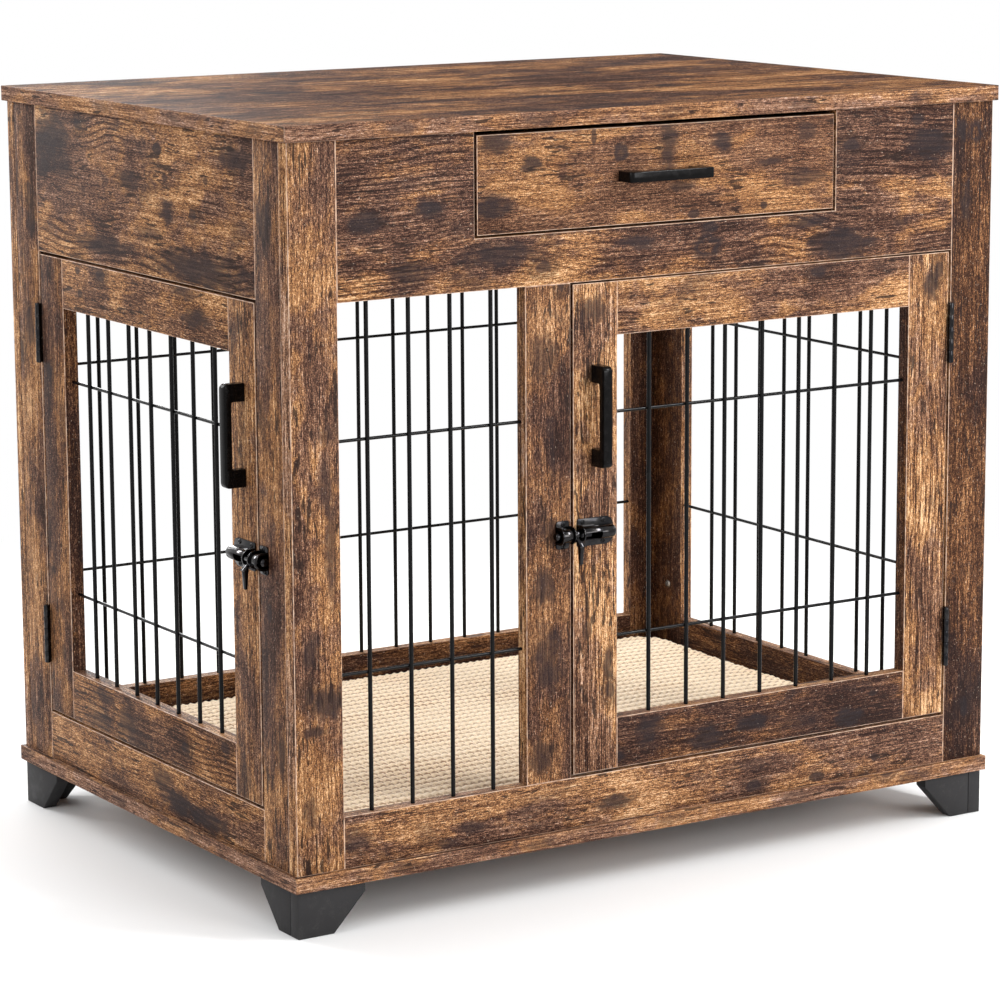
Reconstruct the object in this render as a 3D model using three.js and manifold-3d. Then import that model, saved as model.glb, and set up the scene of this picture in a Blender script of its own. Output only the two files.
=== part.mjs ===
// Dog crate end table: a board-built crate with wire panels, two hinged wire doors,
// a drawer under the top, four angled corner legs and a loose sleeping pad.
// Millimetres, +Z up. The drawer side faces -Y and the side door faces -X.
// The origin is on the floor, under the middle of the whole object with its handles.

import * as THREE from 'three';
import { mergeVertices } from 'three/addons/utils/BufferGeometryUtils.js';
import Module from 'manifold-3d';

const wasm = await Module();
wasm.setup();

// ---------------------------------------------------------------- driving sizes

const TOP_WIDTH = 815; // along X
const TOP_DEPTH = 592; // along Y
const TABLE_HEIGHT = 750;
const BOARD = 15; // thickness of every wood-look board
const OVERHANG = 4; // top and base boards past the frames, front and sides
const BACK_OVERHANG = 5;

const LEG_HEIGHT = 45;
const LEG_LENGTH = 72; // along each side, at the base board
const LEG_FOOT = 38; // along each side, at the floor
const LEG_LIP = 9; // upright stretch of the leg's end above its slant

const STILE = 50; // width of upright frame boards
const SIDE_FRONT_STILE = 47;
const BOTTOM_RAIL = 50;
const APRON = 147; // height of the aprons under the top

const FRONT_DOOR_WIDTH = 450; // the side door fills its opening
const DOOR_GAP = 3; // between a door and its frame, all round
const DOOR_RAIL = 50; // width of a door's stiles and rails

const WIRE_RADIUS = 1.75; // upright wires
const CROSS_WIRE_RADIUS = 1.25;
const WIRE_PITCH = 44.5;
const WIRE_SETBACK = 7; // outer face of a frame to the upright wires' centres
const CROSS_HEIGHTS = [242, 460]; // above the floor
const WIRE_ENTRY = 8; // how far wire ends go into the boards
const WIRE_WELD = 0.2; // how far crossing wires are melted into each other
const FIT = 0.3; // gap round anything that sits in a hole, groove or slot
const OVERCUT = 1; // how far a cutting shape runs past the face that it cuts
const LAP = 1; // how far fused shapes reach into each other
const ROUND_SIDES = 16; // sides of the rod and its holes

const DRAWER_WIDTH = 409; // of the drawer's front
const DRAWER_HEIGHT = 92;
const DRAWER_TOP_GAP = 4; // under the top board
const DRAWER_SIDE_GAP = 3;
const DRAWER_BOTTOM_GAP = 2.5;
const DRAWER_BOX_WIDTH = 390;
const DRAWER_BOX_LENGTH = 406;
const DRAWER_BOX_HEIGHT = 76;
const DRAWER_BOX_LIFT = 3; // the box's lower edge above the front's lower edge
const DRAWER_WALL = 12;
const DRAWER_PANEL = 3; // thickness of the drawer's bottom panel
const DRAWER_PANEL_LIFT = 8; // above the box's lower edge
const GROOVE_DEPTH = 6;
const SHELF = 12; // thickness of the shelf that carries the drawer
const SHELF_DROP = 14; // shelf's upper face below the drawer box
const GUIDE_LIP = 11; // thickness of the upright guide beside the box
const GUIDE_LEDGE = 16; // width of the ledge under the box's side
const GUIDE_RISE = 23; // lip above the ledge
const GUIDE_CLEARANCE = 1; // between a lip and the box's side

const HANDLE_LENGTH = 97;
const HANDLE_REACH = 22; // out from the face
const HANDLE_WIDTH = 10;
const HANDLE_BAR = 8; // thickness of the grip
const HANDLE_FOOT = 17; // length of each foot along the handle
const HANDLE_CORNER = 5;
const HANDLE_FILLET = 2; // inner corners of the finger gap
const HANDLE_MIDDLE = 460.5; // height of the door handles' middles

const HINGE_LENGTH = 60;
const HINGE_INSET = 50; // from the door's top and bottom edges
const HINGE_LEAF = 1.2; // sheet thickness
const HINGE_LEAF_DEPTH = 13.5;
const KNUCKLE_RADIUS = 3;
const KNUCKLES = 5;
const KNUCKLE_SIDES = 12;
const PIN_RADIUS = 1.4;
const PIN_PLAY = 0.25;
const KNUCKLE_STAND = 0.2; // knuckle's clearance in front of the frame's face
const KNUCKLE_GAP = 0.3; // along the pin

const BOLT_PLATE = 1.5; // sheet thickness
const BOLT_PLATE_HEIGHT = 27;
const HOUSING_LENGTH = 41;
const HOUSING_START = 3.5; // from the door's free edge
const HOUSING_BARREL = 34.5; // straight length of its barrel
const HOUSING_DOME = 5;
const HOUSING_CORNER = 9; // at its far end
const HOUSING_NEAR_CORNER = 1.5;
const BORE_STOP = 1; // the housing's bore ends this far short of its dome
const KEEPER_LENGTH = 15;
const KEEPER_START = 2.5; // from the frame's edge beside the door
const KEEPER_CORNER = 3;
const BARREL_RADIUS = 7.5;
const BOLT_AXIS = 6.5; // rod's axis out from the face
const ROD_RADIUS = 4;
const ROD_PLAY = 0.4;
const ROD_THROW = 22; // travel of the bolt
const ROD_PAST_KEEPER = 5;
const ROD_TIP = 2.5; // length of the rounded tip
const ROD_TAIL_PLAY = 1; // left behind the drawn rod, at the end of its bore
const LEVER_WIDTH = 6; // along the rod
const LEVER_NECK = 3.2;
const LEVER_NECK_REACH = 15; // from the rod's axis into the tab
const LEVER_LEAN = 45; // degrees below level, at rest
const LEVER_LIFT = 40; // degrees that the lever turns up
const LEVER_DROP = 31; // its lower end below the rod's axis
const LEVER_SHOULDER = 10; // its tab's upper end below the rod's axis
const LEVER_TAB = 11; // thickness of the tab, out from the face
const LEVER_TAB_START = 2.5; // its inner face out from the rod's axis
const LEVER_CHAMFER = 3.3; // the tab's upper outer corner
const LEVER_RING = 0.7; // wall of the ring round the rod

const PAD_THICKNESS = 31; // at its edge seam's upper line
const PAD_CROWN = 4; // rise of the middle
const PAD_CLEARANCE = 4; // to the boards round it
const PAD_CORNER = 26; // corner radius in plan
const PAD_PINCH = 5; // how far the sides draw in between the corners
const PAD_ROLL = 9; // how far the upper and lower edges roll in
const PAD_POINTS = 72; // round its outline

// ---------------------------------------------------------------- worked-out places

const baseTop = LEG_HEIGHT + BOARD;
const frameTop = TABLE_HEIGHT - BOARD;
const frameLeft = OVERHANG;
const frameRight = TOP_WIDTH - OVERHANG;
const frameFront = OVERHANG;
const frameBack = TOP_DEPTH - BACK_OVERHANG;
const innerLeft = frameLeft + BOARD;
const innerRight = frameRight - BOARD;
const innerFront = frameFront + BOARD;
const innerBack = frameBack - BOARD;
const railTop = baseTop + BOTTOM_RAIL;
const apronBottom = frameTop - APRON;
const doorBottom = railTop + DOOR_GAP;
const doorTop = apronBottom - DOOR_GAP;
const doorMiddle = (doorBottom + doorTop) / 2;

const rightStileEdge = frameRight - STILE;
const frontDoorEdge = rightStileEdge - DOOR_GAP - FRONT_DOOR_WIDTH;
const centreStileEdge = frontDoorEdge - DOOR_GAP;
const sideFrontStileEnd = innerFront + SIDE_FRONT_STILE;
const sideRearStileStart = innerBack - STILE;
const sideDoorEdge = sideFrontStileEnd + DOOR_GAP;
const sideDoorWidth = sideRearStileStart - DOOR_GAP - sideDoorEdge;

const drawerMiddle = TOP_WIDTH / 2;
const drawerFrontBottom = frameTop - DRAWER_TOP_GAP - DRAWER_HEIGHT;
const drawerBoxBottom = drawerFrontBottom + DRAWER_BOX_LIFT;
const drawerBoxLeft = drawerMiddle - DRAWER_BOX_WIDTH / 2;
const drawerBoxRight = drawerMiddle + DRAWER_BOX_WIDTH / 2;
const shelfTop = drawerBoxBottom - SHELF_DROP;

const projectingSide = frameLeft - HANDLE_REACH;
const projectingFront = frameFront - HANDLE_REACH;

// ---------------------------------------------------------------- materials

function finish(color, roughness, metalness = 0) {
  return () => new THREE.MeshStandardMaterial({ color, roughness, metalness });
}

const rusticBoard = finish(0x8a5a34, 0.55);
const blackWire = finish(0x141414, 0.35, 0.4);
const blackHandle = finish(0x17181a, 0.45, 0.3);
const gunmetal = finish(0x2a2a2c, 0.3, 0.9);
const charcoalLeg = finish(0x222224, 0.7);
const drawerLining = finish(0x6b4a30, 0.7);
const padFabric = finish(0xd9c3a3, 0.95);

// ---------------------------------------------------------------- shape helpers

const SAME_POINT = 1e-5; // corners closer than this are one corner

function toSolid(geometry) {
  geometry.deleteAttribute('normal');
  geometry.deleteAttribute('uv');
  const merged = mergeVertices(geometry, SAME_POINT);
  const vertProperties = new Float32Array(merged.attributes.position.array);
  const triVerts = new Uint32Array(merged.index.array);
  return new wasm.Manifold(new wasm.Mesh({ numProp: 3, vertProperties, triVerts }));
}

function toGeometry(solid) {
  const mesh = solid.getMesh();
  const geometry = new THREE.BufferGeometry();
  geometry.setAttribute('position', new THREE.BufferAttribute(mesh.vertProperties, 3));
  geometry.setIndex(new THREE.BufferAttribute(mesh.triVerts, 1));
  geometry.computeVertexNormals();
  return geometry;
}

function block(low, high) {
  const size = high.map((value, i) => value - low[i]);
  const geometry = new THREE.BoxGeometry(...size);
  return geometry.translate(low[0] + size[0] / 2, low[1] + size[1] / 2, low[2] + size[2] / 2);
}

// A straight round bar from one point to another.
function bar(start, end, radius, sides = 8) {
  const from = new THREE.Vector3(...start);
  const along = new THREE.Vector3(...end).sub(from);
  const geometry = new THREE.CylinderGeometry(radius, radius, along.length(), sides);
  const turn = new THREE.Quaternion().setFromUnitVectors(
    new THREE.Vector3(0, 1, 0),
    along.clone().normalize(),
  );
  return geometry.applyQuaternion(turn).translate(...from.addScaledVector(along, 0.5).toArray());
}

// An outline in the YZ plane, given as [y, z] points, drawn out along X.
function drawnAlongX(points, x0, x1) {
  const shape = new THREE.Shape(points.map(([y, z]) => new THREE.Vector2(y, z)));
  return alongX(shape, x0, x1);
}

function alongX(shape, x0, x1, curveSegments = 6) {
  const options = { depth: x1 - x0, bevelEnabled: false, curveSegments };
  const geometry = new THREE.ExtrudeGeometry(shape, options);
  const turned = new THREE.Matrix4().set(0, 0, 1, x0, 1, 0, 0, 0, 0, 1, 0, 0, 0, 0, 0, 1);
  return geometry.applyMatrix4(turned);
}

// Reflects a geometry in the plane x = y: a piece made for the front fits the left side.
function acrossCorner(geometry) {
  const flat = geometry.index ? geometry.toNonIndexed() : geometry;
  flat.deleteAttribute('normal');
  flat.deleteAttribute('uv');
  const points = flat.attributes.position;
  for (let i = 0; i < points.count; i += 3) {
    const corners = [0, 2, 1].map((k) => [points.getY(i + k), points.getX(i + k), points.getZ(i + k)]);
    corners.forEach((corner, k) => points.setXYZ(i + k, ...corner));
  }
  flat.computeVertexNormals();
  return flat;
}

function unite(geometries) {
  return geometries.map(toSolid).reduce((whole, piece) => whole.add(piece));
}

function piece(parent, name, geometry, look) {
  const mesh = new THREE.Mesh(geometry, look());
  mesh.name = name;
  parent.add(mesh);
  return mesh;
}

// A plain board between two corners; wires or grooves are cut from it where they enter.
function board(parent, name, low, high, cut = null, look = rusticBoard) {
  const size = high.map((value, i) => value - low[i]);
  const origin = low.map((value) => -value);
  let geometry = block([0, 0, 0], size);
  if (cut) {
    geometry = toGeometry(toSolid(geometry).subtract(cut.translate(origin)));
  }
  piece(parent, name, geometry, look).position.set(...low);
}

// ---------------------------------------------------------------- wire panels

// A welded wire panel that stands in an opening. It runs from start to end across, low to
// high upward, with the edge wires a whole pitch or so from the boards beside them. place()
// turns [across, depth, height] into a point of the frame that it stands in.
function wirePanel({ start, end, low, high, place }) {
  const middle = (start + end) / 2;
  const count = Math.round((end - start) / WIRE_PITCH) - 1;
  const crossDepth = WIRE_SETBACK + WIRE_RADIUS + CROSS_WIRE_RADIUS - WIRE_WELD;
  const wires = [];
  for (let i = 0; i < count; i += 1) {
    const across = middle + (i - (count - 1) / 2) * WIRE_PITCH;
    const foot = [across, WIRE_SETBACK, low - WIRE_ENTRY];
    const head = [across, WIRE_SETBACK, high + WIRE_ENTRY];
    wires.push({ foot, head, radius: WIRE_RADIUS });
  }
  for (const height of CROSS_HEIGHTS) {
    const foot = [start - WIRE_ENTRY, crossDepth, height];
    const head = [end + WIRE_ENTRY, crossDepth, height];
    wires.push({ foot, head, radius: CROSS_WIRE_RADIUS });
  }
  const rods = wires.map(({ foot, head, radius }) => bar(place(foot), place(head), radius));
  const sockets = wires.map(({ foot, head, radius }) => {
    const from = new THREE.Vector3(...place(foot));
    const to = new THREE.Vector3(...place(head));
    const step = to.clone().sub(from).setLength(FIT);
    return bar(from.sub(step).toArray(), to.add(step).toArray(), radius + FIT);
  });
  return { grid: toGeometry(unite(rods)), sockets: unite(sockets) };
}

// ---------------------------------------------------------------- handle

// A cast bow handle: two feet and a flat grip with rounded outer corners. Its length runs
// along Z and its reach along -Y, from y = 0 at the face that it is screwed to.
function handleShape() {
  const half = HANDLE_LENGTH / 2;
  const inner = half - HANDLE_FOOT;
  const under = HANDLE_REACH - HANDLE_BAR;
  const shape = new THREE.Shape();
  shape.moveTo(0, -half);
  shape.lineTo(-HANDLE_REACH + HANDLE_CORNER, -half);
  shape.quadraticCurveTo(-HANDLE_REACH, -half, -HANDLE_REACH, -half + HANDLE_CORNER);
  shape.lineTo(-HANDLE_REACH, half - HANDLE_CORNER);
  shape.quadraticCurveTo(-HANDLE_REACH, half, -HANDLE_REACH + HANDLE_CORNER, half);
  shape.lineTo(0, half);
  shape.lineTo(0, inner);
  shape.lineTo(-under + HANDLE_FILLET, inner);
  shape.quadraticCurveTo(-under, inner, -under, inner - HANDLE_FILLET);
  shape.lineTo(-under, -inner + HANDLE_FILLET);
  shape.quadraticCurveTo(-under, -inner, -under + HANDLE_FILLET, -inner);
  shape.lineTo(0, -inner);
  return alongX(shape, -HANDLE_WIDTH / 2, HANDLE_WIDTH / 2, 4);
}

// ---------------------------------------------------------------- hinges

const hingeAxisOut = KNUCKLE_RADIUS + KNUCKLE_STAND; // in front of the door's face
const knuckleLength = (HINGE_LENGTH - (KNUCKLES - 1) * KNUCKLE_GAP) / KNUCKLES;
const hingeHeights = [doorBottom + HINGE_INSET, doorTop - HINGE_INSET - HINGE_LENGTH];

// One leaf of a butt hinge in the door's frame of reference: a sheet leaf in the gap beside
// the door, and every second knuckle in front of the gap.
function hingeLeaf(doorWidth, bottom, onDoor) {
  const near = onDoor ? doorWidth : doorWidth + DOOR_GAP - HINGE_LEAF;
  const far = near + HINGE_LEAF;
  const leafFront = FIT;
  const top = bottom + HINGE_LENGTH;
  const parts = [block([near, leafFront, bottom], [far, leafFront + HINGE_LEAF_DEPTH, top])];
  const x = doorWidth + DOOR_GAP / 2;
  const y = -hingeAxisOut;
  const webFront = y + PIN_RADIUS + PIN_PLAY;
  for (let i = 0; i < KNUCKLES; i += 1) {
    const isDoors = i % 2 === 1;
    if (isDoors !== onDoor) continue;
    const low = bottom + i * (knuckleLength + KNUCKLE_GAP);
    const high = low + knuckleLength;
    parts.push(bar([x, y, low], [x, y, high], KNUCKLE_RADIUS, KNUCKLE_SIDES));
    parts.push(block([near, webFront, low], [far, leafFront + LAP, high]));
  }
  if (onDoor) {
    const boreRadius = PIN_RADIUS + PIN_PLAY;
    const bore = bar([x, y, bottom - OVERCUT], [x, y, top + OVERCUT], boreRadius, KNUCKLE_SIDES);
    return toGeometry(unite(parts).subtract(toSolid(bore)));
  }
  parts.push(bar([x, y, bottom], [x, y, top], PIN_RADIUS, KNUCKLE_SIDES));
  return toGeometry(unite(parts));
}

// ---------------------------------------------------------------- barrel bolt

// All of the bolt is drawn in the door's frame of reference: x = 0 at the door's free edge,
// the frame's edge at x = -DOOR_GAP, y = 0 at the outer face, and z = 0 at the rod's axis.
const keeperEnd = -DOOR_GAP - KEEPER_START;
const keeperBegin = keeperEnd - KEEPER_LENGTH;
const housingEnd = HOUSING_START + HOUSING_LENGTH;
const leverBegin = (keeperEnd + HOUSING_START - LEVER_WIDTH) / 2;
const leverEnd = leverBegin + LEVER_WIDTH;
const barrelEnd = HOUSING_START + HOUSING_BARREL;
const boreEnd = barrelEnd - BORE_STOP;
const rodTip = keeperBegin - ROD_PAST_KEEPER;
const rodTail = boreEnd - ROD_THROW - ROD_TAIL_PLAY;

// A flat plate on the face, rounded at its far end and its near end.
function boltPlate(x0, x1, nearCorner, farCorner) {
  const half = BOLT_PLATE_HEIGHT / 2;
  const shape = new THREE.Shape();
  shape.moveTo(x0 + nearCorner, -half);
  shape.lineTo(x1 - farCorner, -half);
  shape.absarc(x1 - farCorner, -half + farCorner, farCorner, -Math.PI / 2, 0, false);
  shape.absarc(x1 - farCorner, half - farCorner, farCorner, 0, Math.PI / 2, false);
  shape.absarc(x0 + nearCorner, half - nearCorner, nearCorner, Math.PI / 2, Math.PI, false);
  shape.absarc(x0 + nearCorner, -half + nearCorner, nearCorner, Math.PI, Math.PI * 1.5, false);
  const options = { depth: BOLT_PLATE, bevelEnabled: false, curveSegments: 4 };
  return new THREE.ExtrudeGeometry(shape, options).rotateX(Math.PI / 2);
}

// The pressed half-round that stands on a plate and holds the rod.
function boltBarrel(x0, x1) {
  const shape = new THREE.Shape();
  shape.moveTo(0, -BARREL_RADIUS);
  shape.lineTo(0, BARREL_RADIUS);
  shape.lineTo(-BOLT_AXIS, BARREL_RADIUS);
  shape.absarc(-BOLT_AXIS, 0, BARREL_RADIUS, Math.PI / 2, Math.PI * 1.5, false);
  return alongX(shape, x0, x1, 8);
}

function boltBore(x0, x1) {
  const bore = bar([x0, -BOLT_AXIS, 0], [x1, -BOLT_AXIS, 0], ROD_RADIUS + ROD_PLAY, ROUND_SIDES);
  return toSolid(bore);
}

// Turns a direction below level, in degrees, into [y, z] at a distance from the rod's axis
// and an offset square to it.
function aroundRod(degrees, distance, offset) {
  const turn = THREE.MathUtils.degToRad(degrees);
  const out = distance * Math.cos(turn) + offset * Math.sin(turn);
  const up = -distance * Math.sin(turn) + offset * Math.cos(turn);
  return [-BOLT_AXIS - out, up];
}

function boltHousing() {
  const reach = BARREL_RADIUS * 2; // well clear of the barrel
  const dome = new THREE.SphereGeometry(BARREL_RADIUS, ROUND_SIDES, ROUND_SIDES / 2);
  dome.rotateZ(Math.PI / 2).scale(HOUSING_DOME / BARREL_RADIUS, 1, 1);
  dome.translate(barrelEnd, -BOLT_AXIS, 0);
  const plate = boltPlate(HOUSING_START, housingEnd, HOUSING_NEAR_CORNER, HOUSING_CORNER);
  const doorSide = block([barrelEnd - reach, 0, -reach], [barrelEnd + reach, reach, reach]);
  const outerDome = toGeometry(toSolid(dome).subtract(toSolid(doorSide)));
  const body = unite([plate, boltBarrel(HOUSING_START, barrelEnd), outerDome]);
  const room = LEVER_NECK / 2 + ROD_PLAY;
  const window = drawnAlongX(
    [
      aroundRod(LEVER_LEAN, 0, -room),
      aroundRod(LEVER_LEAN, reach, -room),
      aroundRod(LEVER_LEAN - LEVER_LIFT, reach, room),
      aroundRod(LEVER_LEAN - LEVER_LIFT, 0, room),
    ],
    HOUSING_START - OVERCUT,
    leverEnd + ROD_THROW + ROD_PLAY * 2,
  );
  const bore = boltBore(HOUSING_START - OVERCUT, boreEnd);
  return toGeometry(body.subtract(bore).subtract(toSolid(window)));
}

function boltKeeper() {
  const plate = boltPlate(keeperBegin, keeperEnd, KEEPER_CORNER, KEEPER_CORNER);
  const body = unite([plate, boltBarrel(keeperBegin, keeperEnd)]);
  return toGeometry(body.subtract(boltBore(keeperBegin - OVERCUT, keeperEnd + OVERCUT)));
}

// The sliding rod, with a rounded tip, turned down where the lever's ring sits.
function boltRod() {
  const neck = ROD_RADIUS - LEVER_RING - FIT;
  const tip = [0, 30, 60, 90].map((degrees) => {
    const turn = THREE.MathUtils.degToRad(degrees);
    return [ROD_RADIUS * Math.sin(turn), rodTip + ROD_TIP * (1 - Math.cos(turn))];
  });
  const profile = [
    ...tip,
    [ROD_RADIUS, leverBegin - FIT],
    [neck, leverBegin - FIT],
    [neck, leverEnd + FIT],
    [ROD_RADIUS, leverEnd + FIT],
    [ROD_RADIUS, rodTail],
    [0, rodTail],
  ];
  const points = profile.map(([radius, along]) => new THREE.Vector2(radius, along));
  const rod = new THREE.LatheGeometry(points, ROUND_SIDES).rotateZ(-Math.PI / 2);
  return rod.translate(0, -BOLT_AXIS, 0);
}

// The lever: a ring on the rod, a leaning neck and a flat tab that hangs from it.
function boltLever() {
  const holeRadius = ROD_RADIUS - LEVER_RING;
  const ring = bar([leverBegin, -BOLT_AXIS, 0], [leverEnd, -BOLT_AXIS, 0], ROD_RADIUS, ROUND_SIDES);
  const neck = drawnAlongX(
    [
      aroundRod(LEVER_LEAN, holeRadius, LEVER_NECK / 2),
      aroundRod(LEVER_LEAN, holeRadius, -LEVER_NECK / 2),
      aroundRod(LEVER_LEAN, LEVER_NECK_REACH, -LEVER_NECK / 2),
      aroundRod(LEVER_LEAN, LEVER_NECK_REACH, LEVER_NECK / 2),
    ],
    leverBegin,
    leverEnd,
  );
  const inner = -BOLT_AXIS - LEVER_TAB_START;
  const outer = inner - LEVER_TAB;
  const tab = drawnAlongX(
    [
      [inner, -LEVER_SHOULDER],
      [inner, -LEVER_DROP],
      [outer, -LEVER_DROP],
      [outer, -LEVER_SHOULDER - LEVER_CHAMFER],
      [outer + LEVER_CHAMFER, -LEVER_SHOULDER],
    ],
    leverBegin,
    leverEnd,
  );
  const hole = bar(
    [leverBegin - OVERCUT, -BOLT_AXIS, 0],
    [leverEnd + OVERCUT, -BOLT_AXIS, 0],
    holeRadius,
    ROUND_SIDES,
  );
  return toGeometry(unite([ring, neck, tab]).subtract(toSolid(hole)));
}

// ---------------------------------------------------------------- doors

// A wire door with its handle, hinges and bolt, drawn with x = 0 at its free edge and y = 0
// at its outer face. asFitted() leaves each geometry as it is, or reflects it for the side.
function addDoor(parent, name, width, asFitted) {
  const openStart = DOOR_RAIL;
  const openEnd = width - DOOR_RAIL;
  const openLow = doorBottom + DOOR_RAIL;
  const openHigh = doorTop - DOOR_RAIL;
  const panel = wirePanel({
    start: openStart,
    end: openEnd,
    low: openLow,
    high: openHigh,
    place: (point) => point,
  });
  const frameBoards = {
    free_stile: [[0, 0, doorBottom], [DOOR_RAIL, BOARD, doorTop]],
    hinge_stile: [[openEnd, 0, doorBottom], [width, BOARD, doorTop]],
    top_rail: [[openStart, 0, openHigh], [openEnd, BOARD, doorTop]],
    bottom_rail: [[openStart, 0, doorBottom], [openEnd, BOARD, openLow]],
  };
  for (const [label, [low, high]] of Object.entries(frameBoards)) {
    const cut = toGeometry(toSolid(block(low, high)).subtract(panel.sockets));
    piece(parent, `${name}_door_${label}`, asFitted(cut), rusticBoard);
  }
  piece(parent, `${name}_door_wire_grid`, asFitted(panel.grid), blackWire);

  const handle = handleShape().translate(DOOR_RAIL / 2, 0, HANDLE_MIDDLE);
  piece(parent, `${name}_door_handle`, asFitted(handle), blackHandle);

  ['lower', 'upper'].forEach((level, i) => {
    const doorLeaf = hingeLeaf(width, hingeHeights[i], true);
    const frameLeaf = hingeLeaf(width, hingeHeights[i], false);
    piece(parent, `${name}_${level}_hinge_door_leaf`, asFitted(doorLeaf), gunmetal);
    piece(parent, `${name}_${level}_hinge_frame_leaf`, asFitted(frameLeaf), gunmetal);
  });

  const boltPieces = {
    bolt_housing: boltHousing(),
    bolt_keeper: boltKeeper(),
    bolt_rod: boltRod(),
    bolt_lever: boltLever(),
  };
  for (const [label, geometry] of Object.entries(boltPieces)) {
    const raised = geometry.translate(0, 0, doorMiddle);
    piece(parent, `${name}_${label}`, asFitted(raised), gunmetal);
  }
}

// ---------------------------------------------------------------- cabinet

function addBoards(cabinet) {
  board(cabinet, 'base_board', [0, 0, LEG_HEIGHT], [TOP_WIDTH, TOP_DEPTH, baseTop]);
  board(cabinet, 'top_board', [0, 0, frameTop], [TOP_WIDTH, TOP_DEPTH, TABLE_HEIGHT]);
}

// A corner leg: two boards at a right angle, each cut back on a slant towards the floor.
function legShape() {
  const outline = [
    [0, 0],
    [LEG_FOOT, 0],
    [LEG_LENGTH, LEG_HEIGHT - LEG_LIP],
    [LEG_LENGTH, LEG_HEIGHT],
    [0, LEG_HEIGHT],
  ];
  const alongSide = drawnAlongX(outline, 0, BOARD);
  const alongFront = acrossCorner(alongSide.clone());
  return unite([alongSide, alongFront]);
}

function addLegs(cabinet) {
  const corners = [
    ['front_left', frameLeft, frameFront, 0],
    ['front_right', frameRight, frameFront, Math.PI / 2],
    ['back_right', frameRight, frameBack, Math.PI],
    ['back_left', frameLeft, frameBack, -Math.PI / 2],
  ];
  for (const [label, x, y, turn] of corners) {
    const leg = piece(cabinet, `${label}_leg`, toGeometry(legShape()), charcoalLeg);
    leg.position.set(x, y, 0);
    leg.rotation.z = turn;
  }
}

function addFrontFrame(cabinet) {
  const openStart = frameLeft + STILE;
  const openEnd = centreStileEdge - STILE;
  const panel = wirePanel({
    start: openStart,
    end: openEnd,
    low: railTop,
    high: apronBottom,
    place: ([across, depth, height]) => [across, frameFront + depth, height],
  });
  const [y0, y1] = [frameFront, innerFront];
  const { sockets } = panel;
  board(cabinet, 'front_left_stile', [frameLeft, y0, baseTop], [openStart, y1, frameTop], sockets);
  board(cabinet, 'front_right_stile', [rightStileEdge, y0, baseTop], [frameRight, y1, frameTop]);
  board(cabinet, 'front_centre_stile', [openEnd, y0, railTop], [centreStileEdge, y1, apronBottom], sockets);
  board(cabinet, 'front_bottom_rail', [openStart, y0, baseTop], [rightStileEdge, y1, railTop], sockets);

  const cutHalf = DRAWER_WIDTH / 2 + DRAWER_SIDE_GAP;
  const cutBottom = drawerFrontBottom - DRAWER_BOTTOM_GAP;
  const drawerHole = toSolid(
    block(
      [drawerMiddle - cutHalf, y0 - OVERCUT, cutBottom],
      [drawerMiddle + cutHalf, y1 + OVERCUT, frameTop + OVERCUT],
    ),
  );
  const apronCut = drawerHole.add(sockets);
  board(cabinet, 'front_apron', [openStart, y0, apronBottom], [rightStileEdge, y1, frameTop], apronCut);
  piece(cabinet, 'front_wire_grid', panel.grid, blackWire);
}

function addLeftFrame(cabinet) {
  const [x0, x1] = [frameLeft, innerLeft];
  const [front, rear] = [sideFrontStileEnd, sideRearStileStart];
  board(cabinet, 'left_front_stile', [x0, innerFront, baseTop], [x1, front, frameTop]);
  board(cabinet, 'left_rear_stile', [x0, rear, baseTop], [x1, innerBack, frameTop]);
  board(cabinet, 'left_apron', [x0, front, apronBottom], [x1, rear, frameTop]);
  board(cabinet, 'left_bottom_rail', [x0, front, baseTop], [x1, rear, railTop]);
}

function addRightFrame(cabinet) {
  const [x0, x1] = [innerRight, frameRight];
  const [front, rear] = [sideFrontStileEnd, sideRearStileStart];
  const panel = wirePanel({
    start: front,
    end: rear,
    low: railTop,
    high: apronBottom,
    place: ([across, depth, height]) => [frameRight - depth, across, height],
  });
  board(cabinet, 'right_front_stile', [x0, innerFront, baseTop], [x1, front, frameTop], panel.sockets);
  board(cabinet, 'right_rear_stile', [x0, rear, baseTop], [x1, innerBack, frameTop], panel.sockets);
  board(cabinet, 'right_apron', [x0, front, apronBottom], [x1, rear, frameTop], panel.sockets);
  board(cabinet, 'right_bottom_rail', [x0, front, baseTop], [x1, rear, railTop], panel.sockets);
  piece(cabinet, 'right_wire_grid', panel.grid, blackWire);
}

function addBackFrame(cabinet) {
  const [y0, y1] = [innerBack, frameBack];
  const [left, right] = [frameLeft + STILE, rightStileEdge];
  const panel = wirePanel({
    start: left,
    end: right,
    low: railTop,
    high: apronBottom,
    place: ([across, depth, height]) => [across, frameBack - depth, height],
  });
  board(cabinet, 'back_left_stile', [frameLeft, y0, baseTop], [left, y1, frameTop], panel.sockets);
  board(cabinet, 'back_right_stile', [right, y0, baseTop], [frameRight, y1, frameTop], panel.sockets);
  board(cabinet, 'back_apron', [left, y0, apronBottom], [right, y1, frameTop], panel.sockets);
  board(cabinet, 'back_bottom_rail', [left, y0, baseTop], [right, y1, railTop], panel.sockets);
  piece(cabinet, 'back_wire_grid', panel.grid, blackWire);
}

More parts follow.
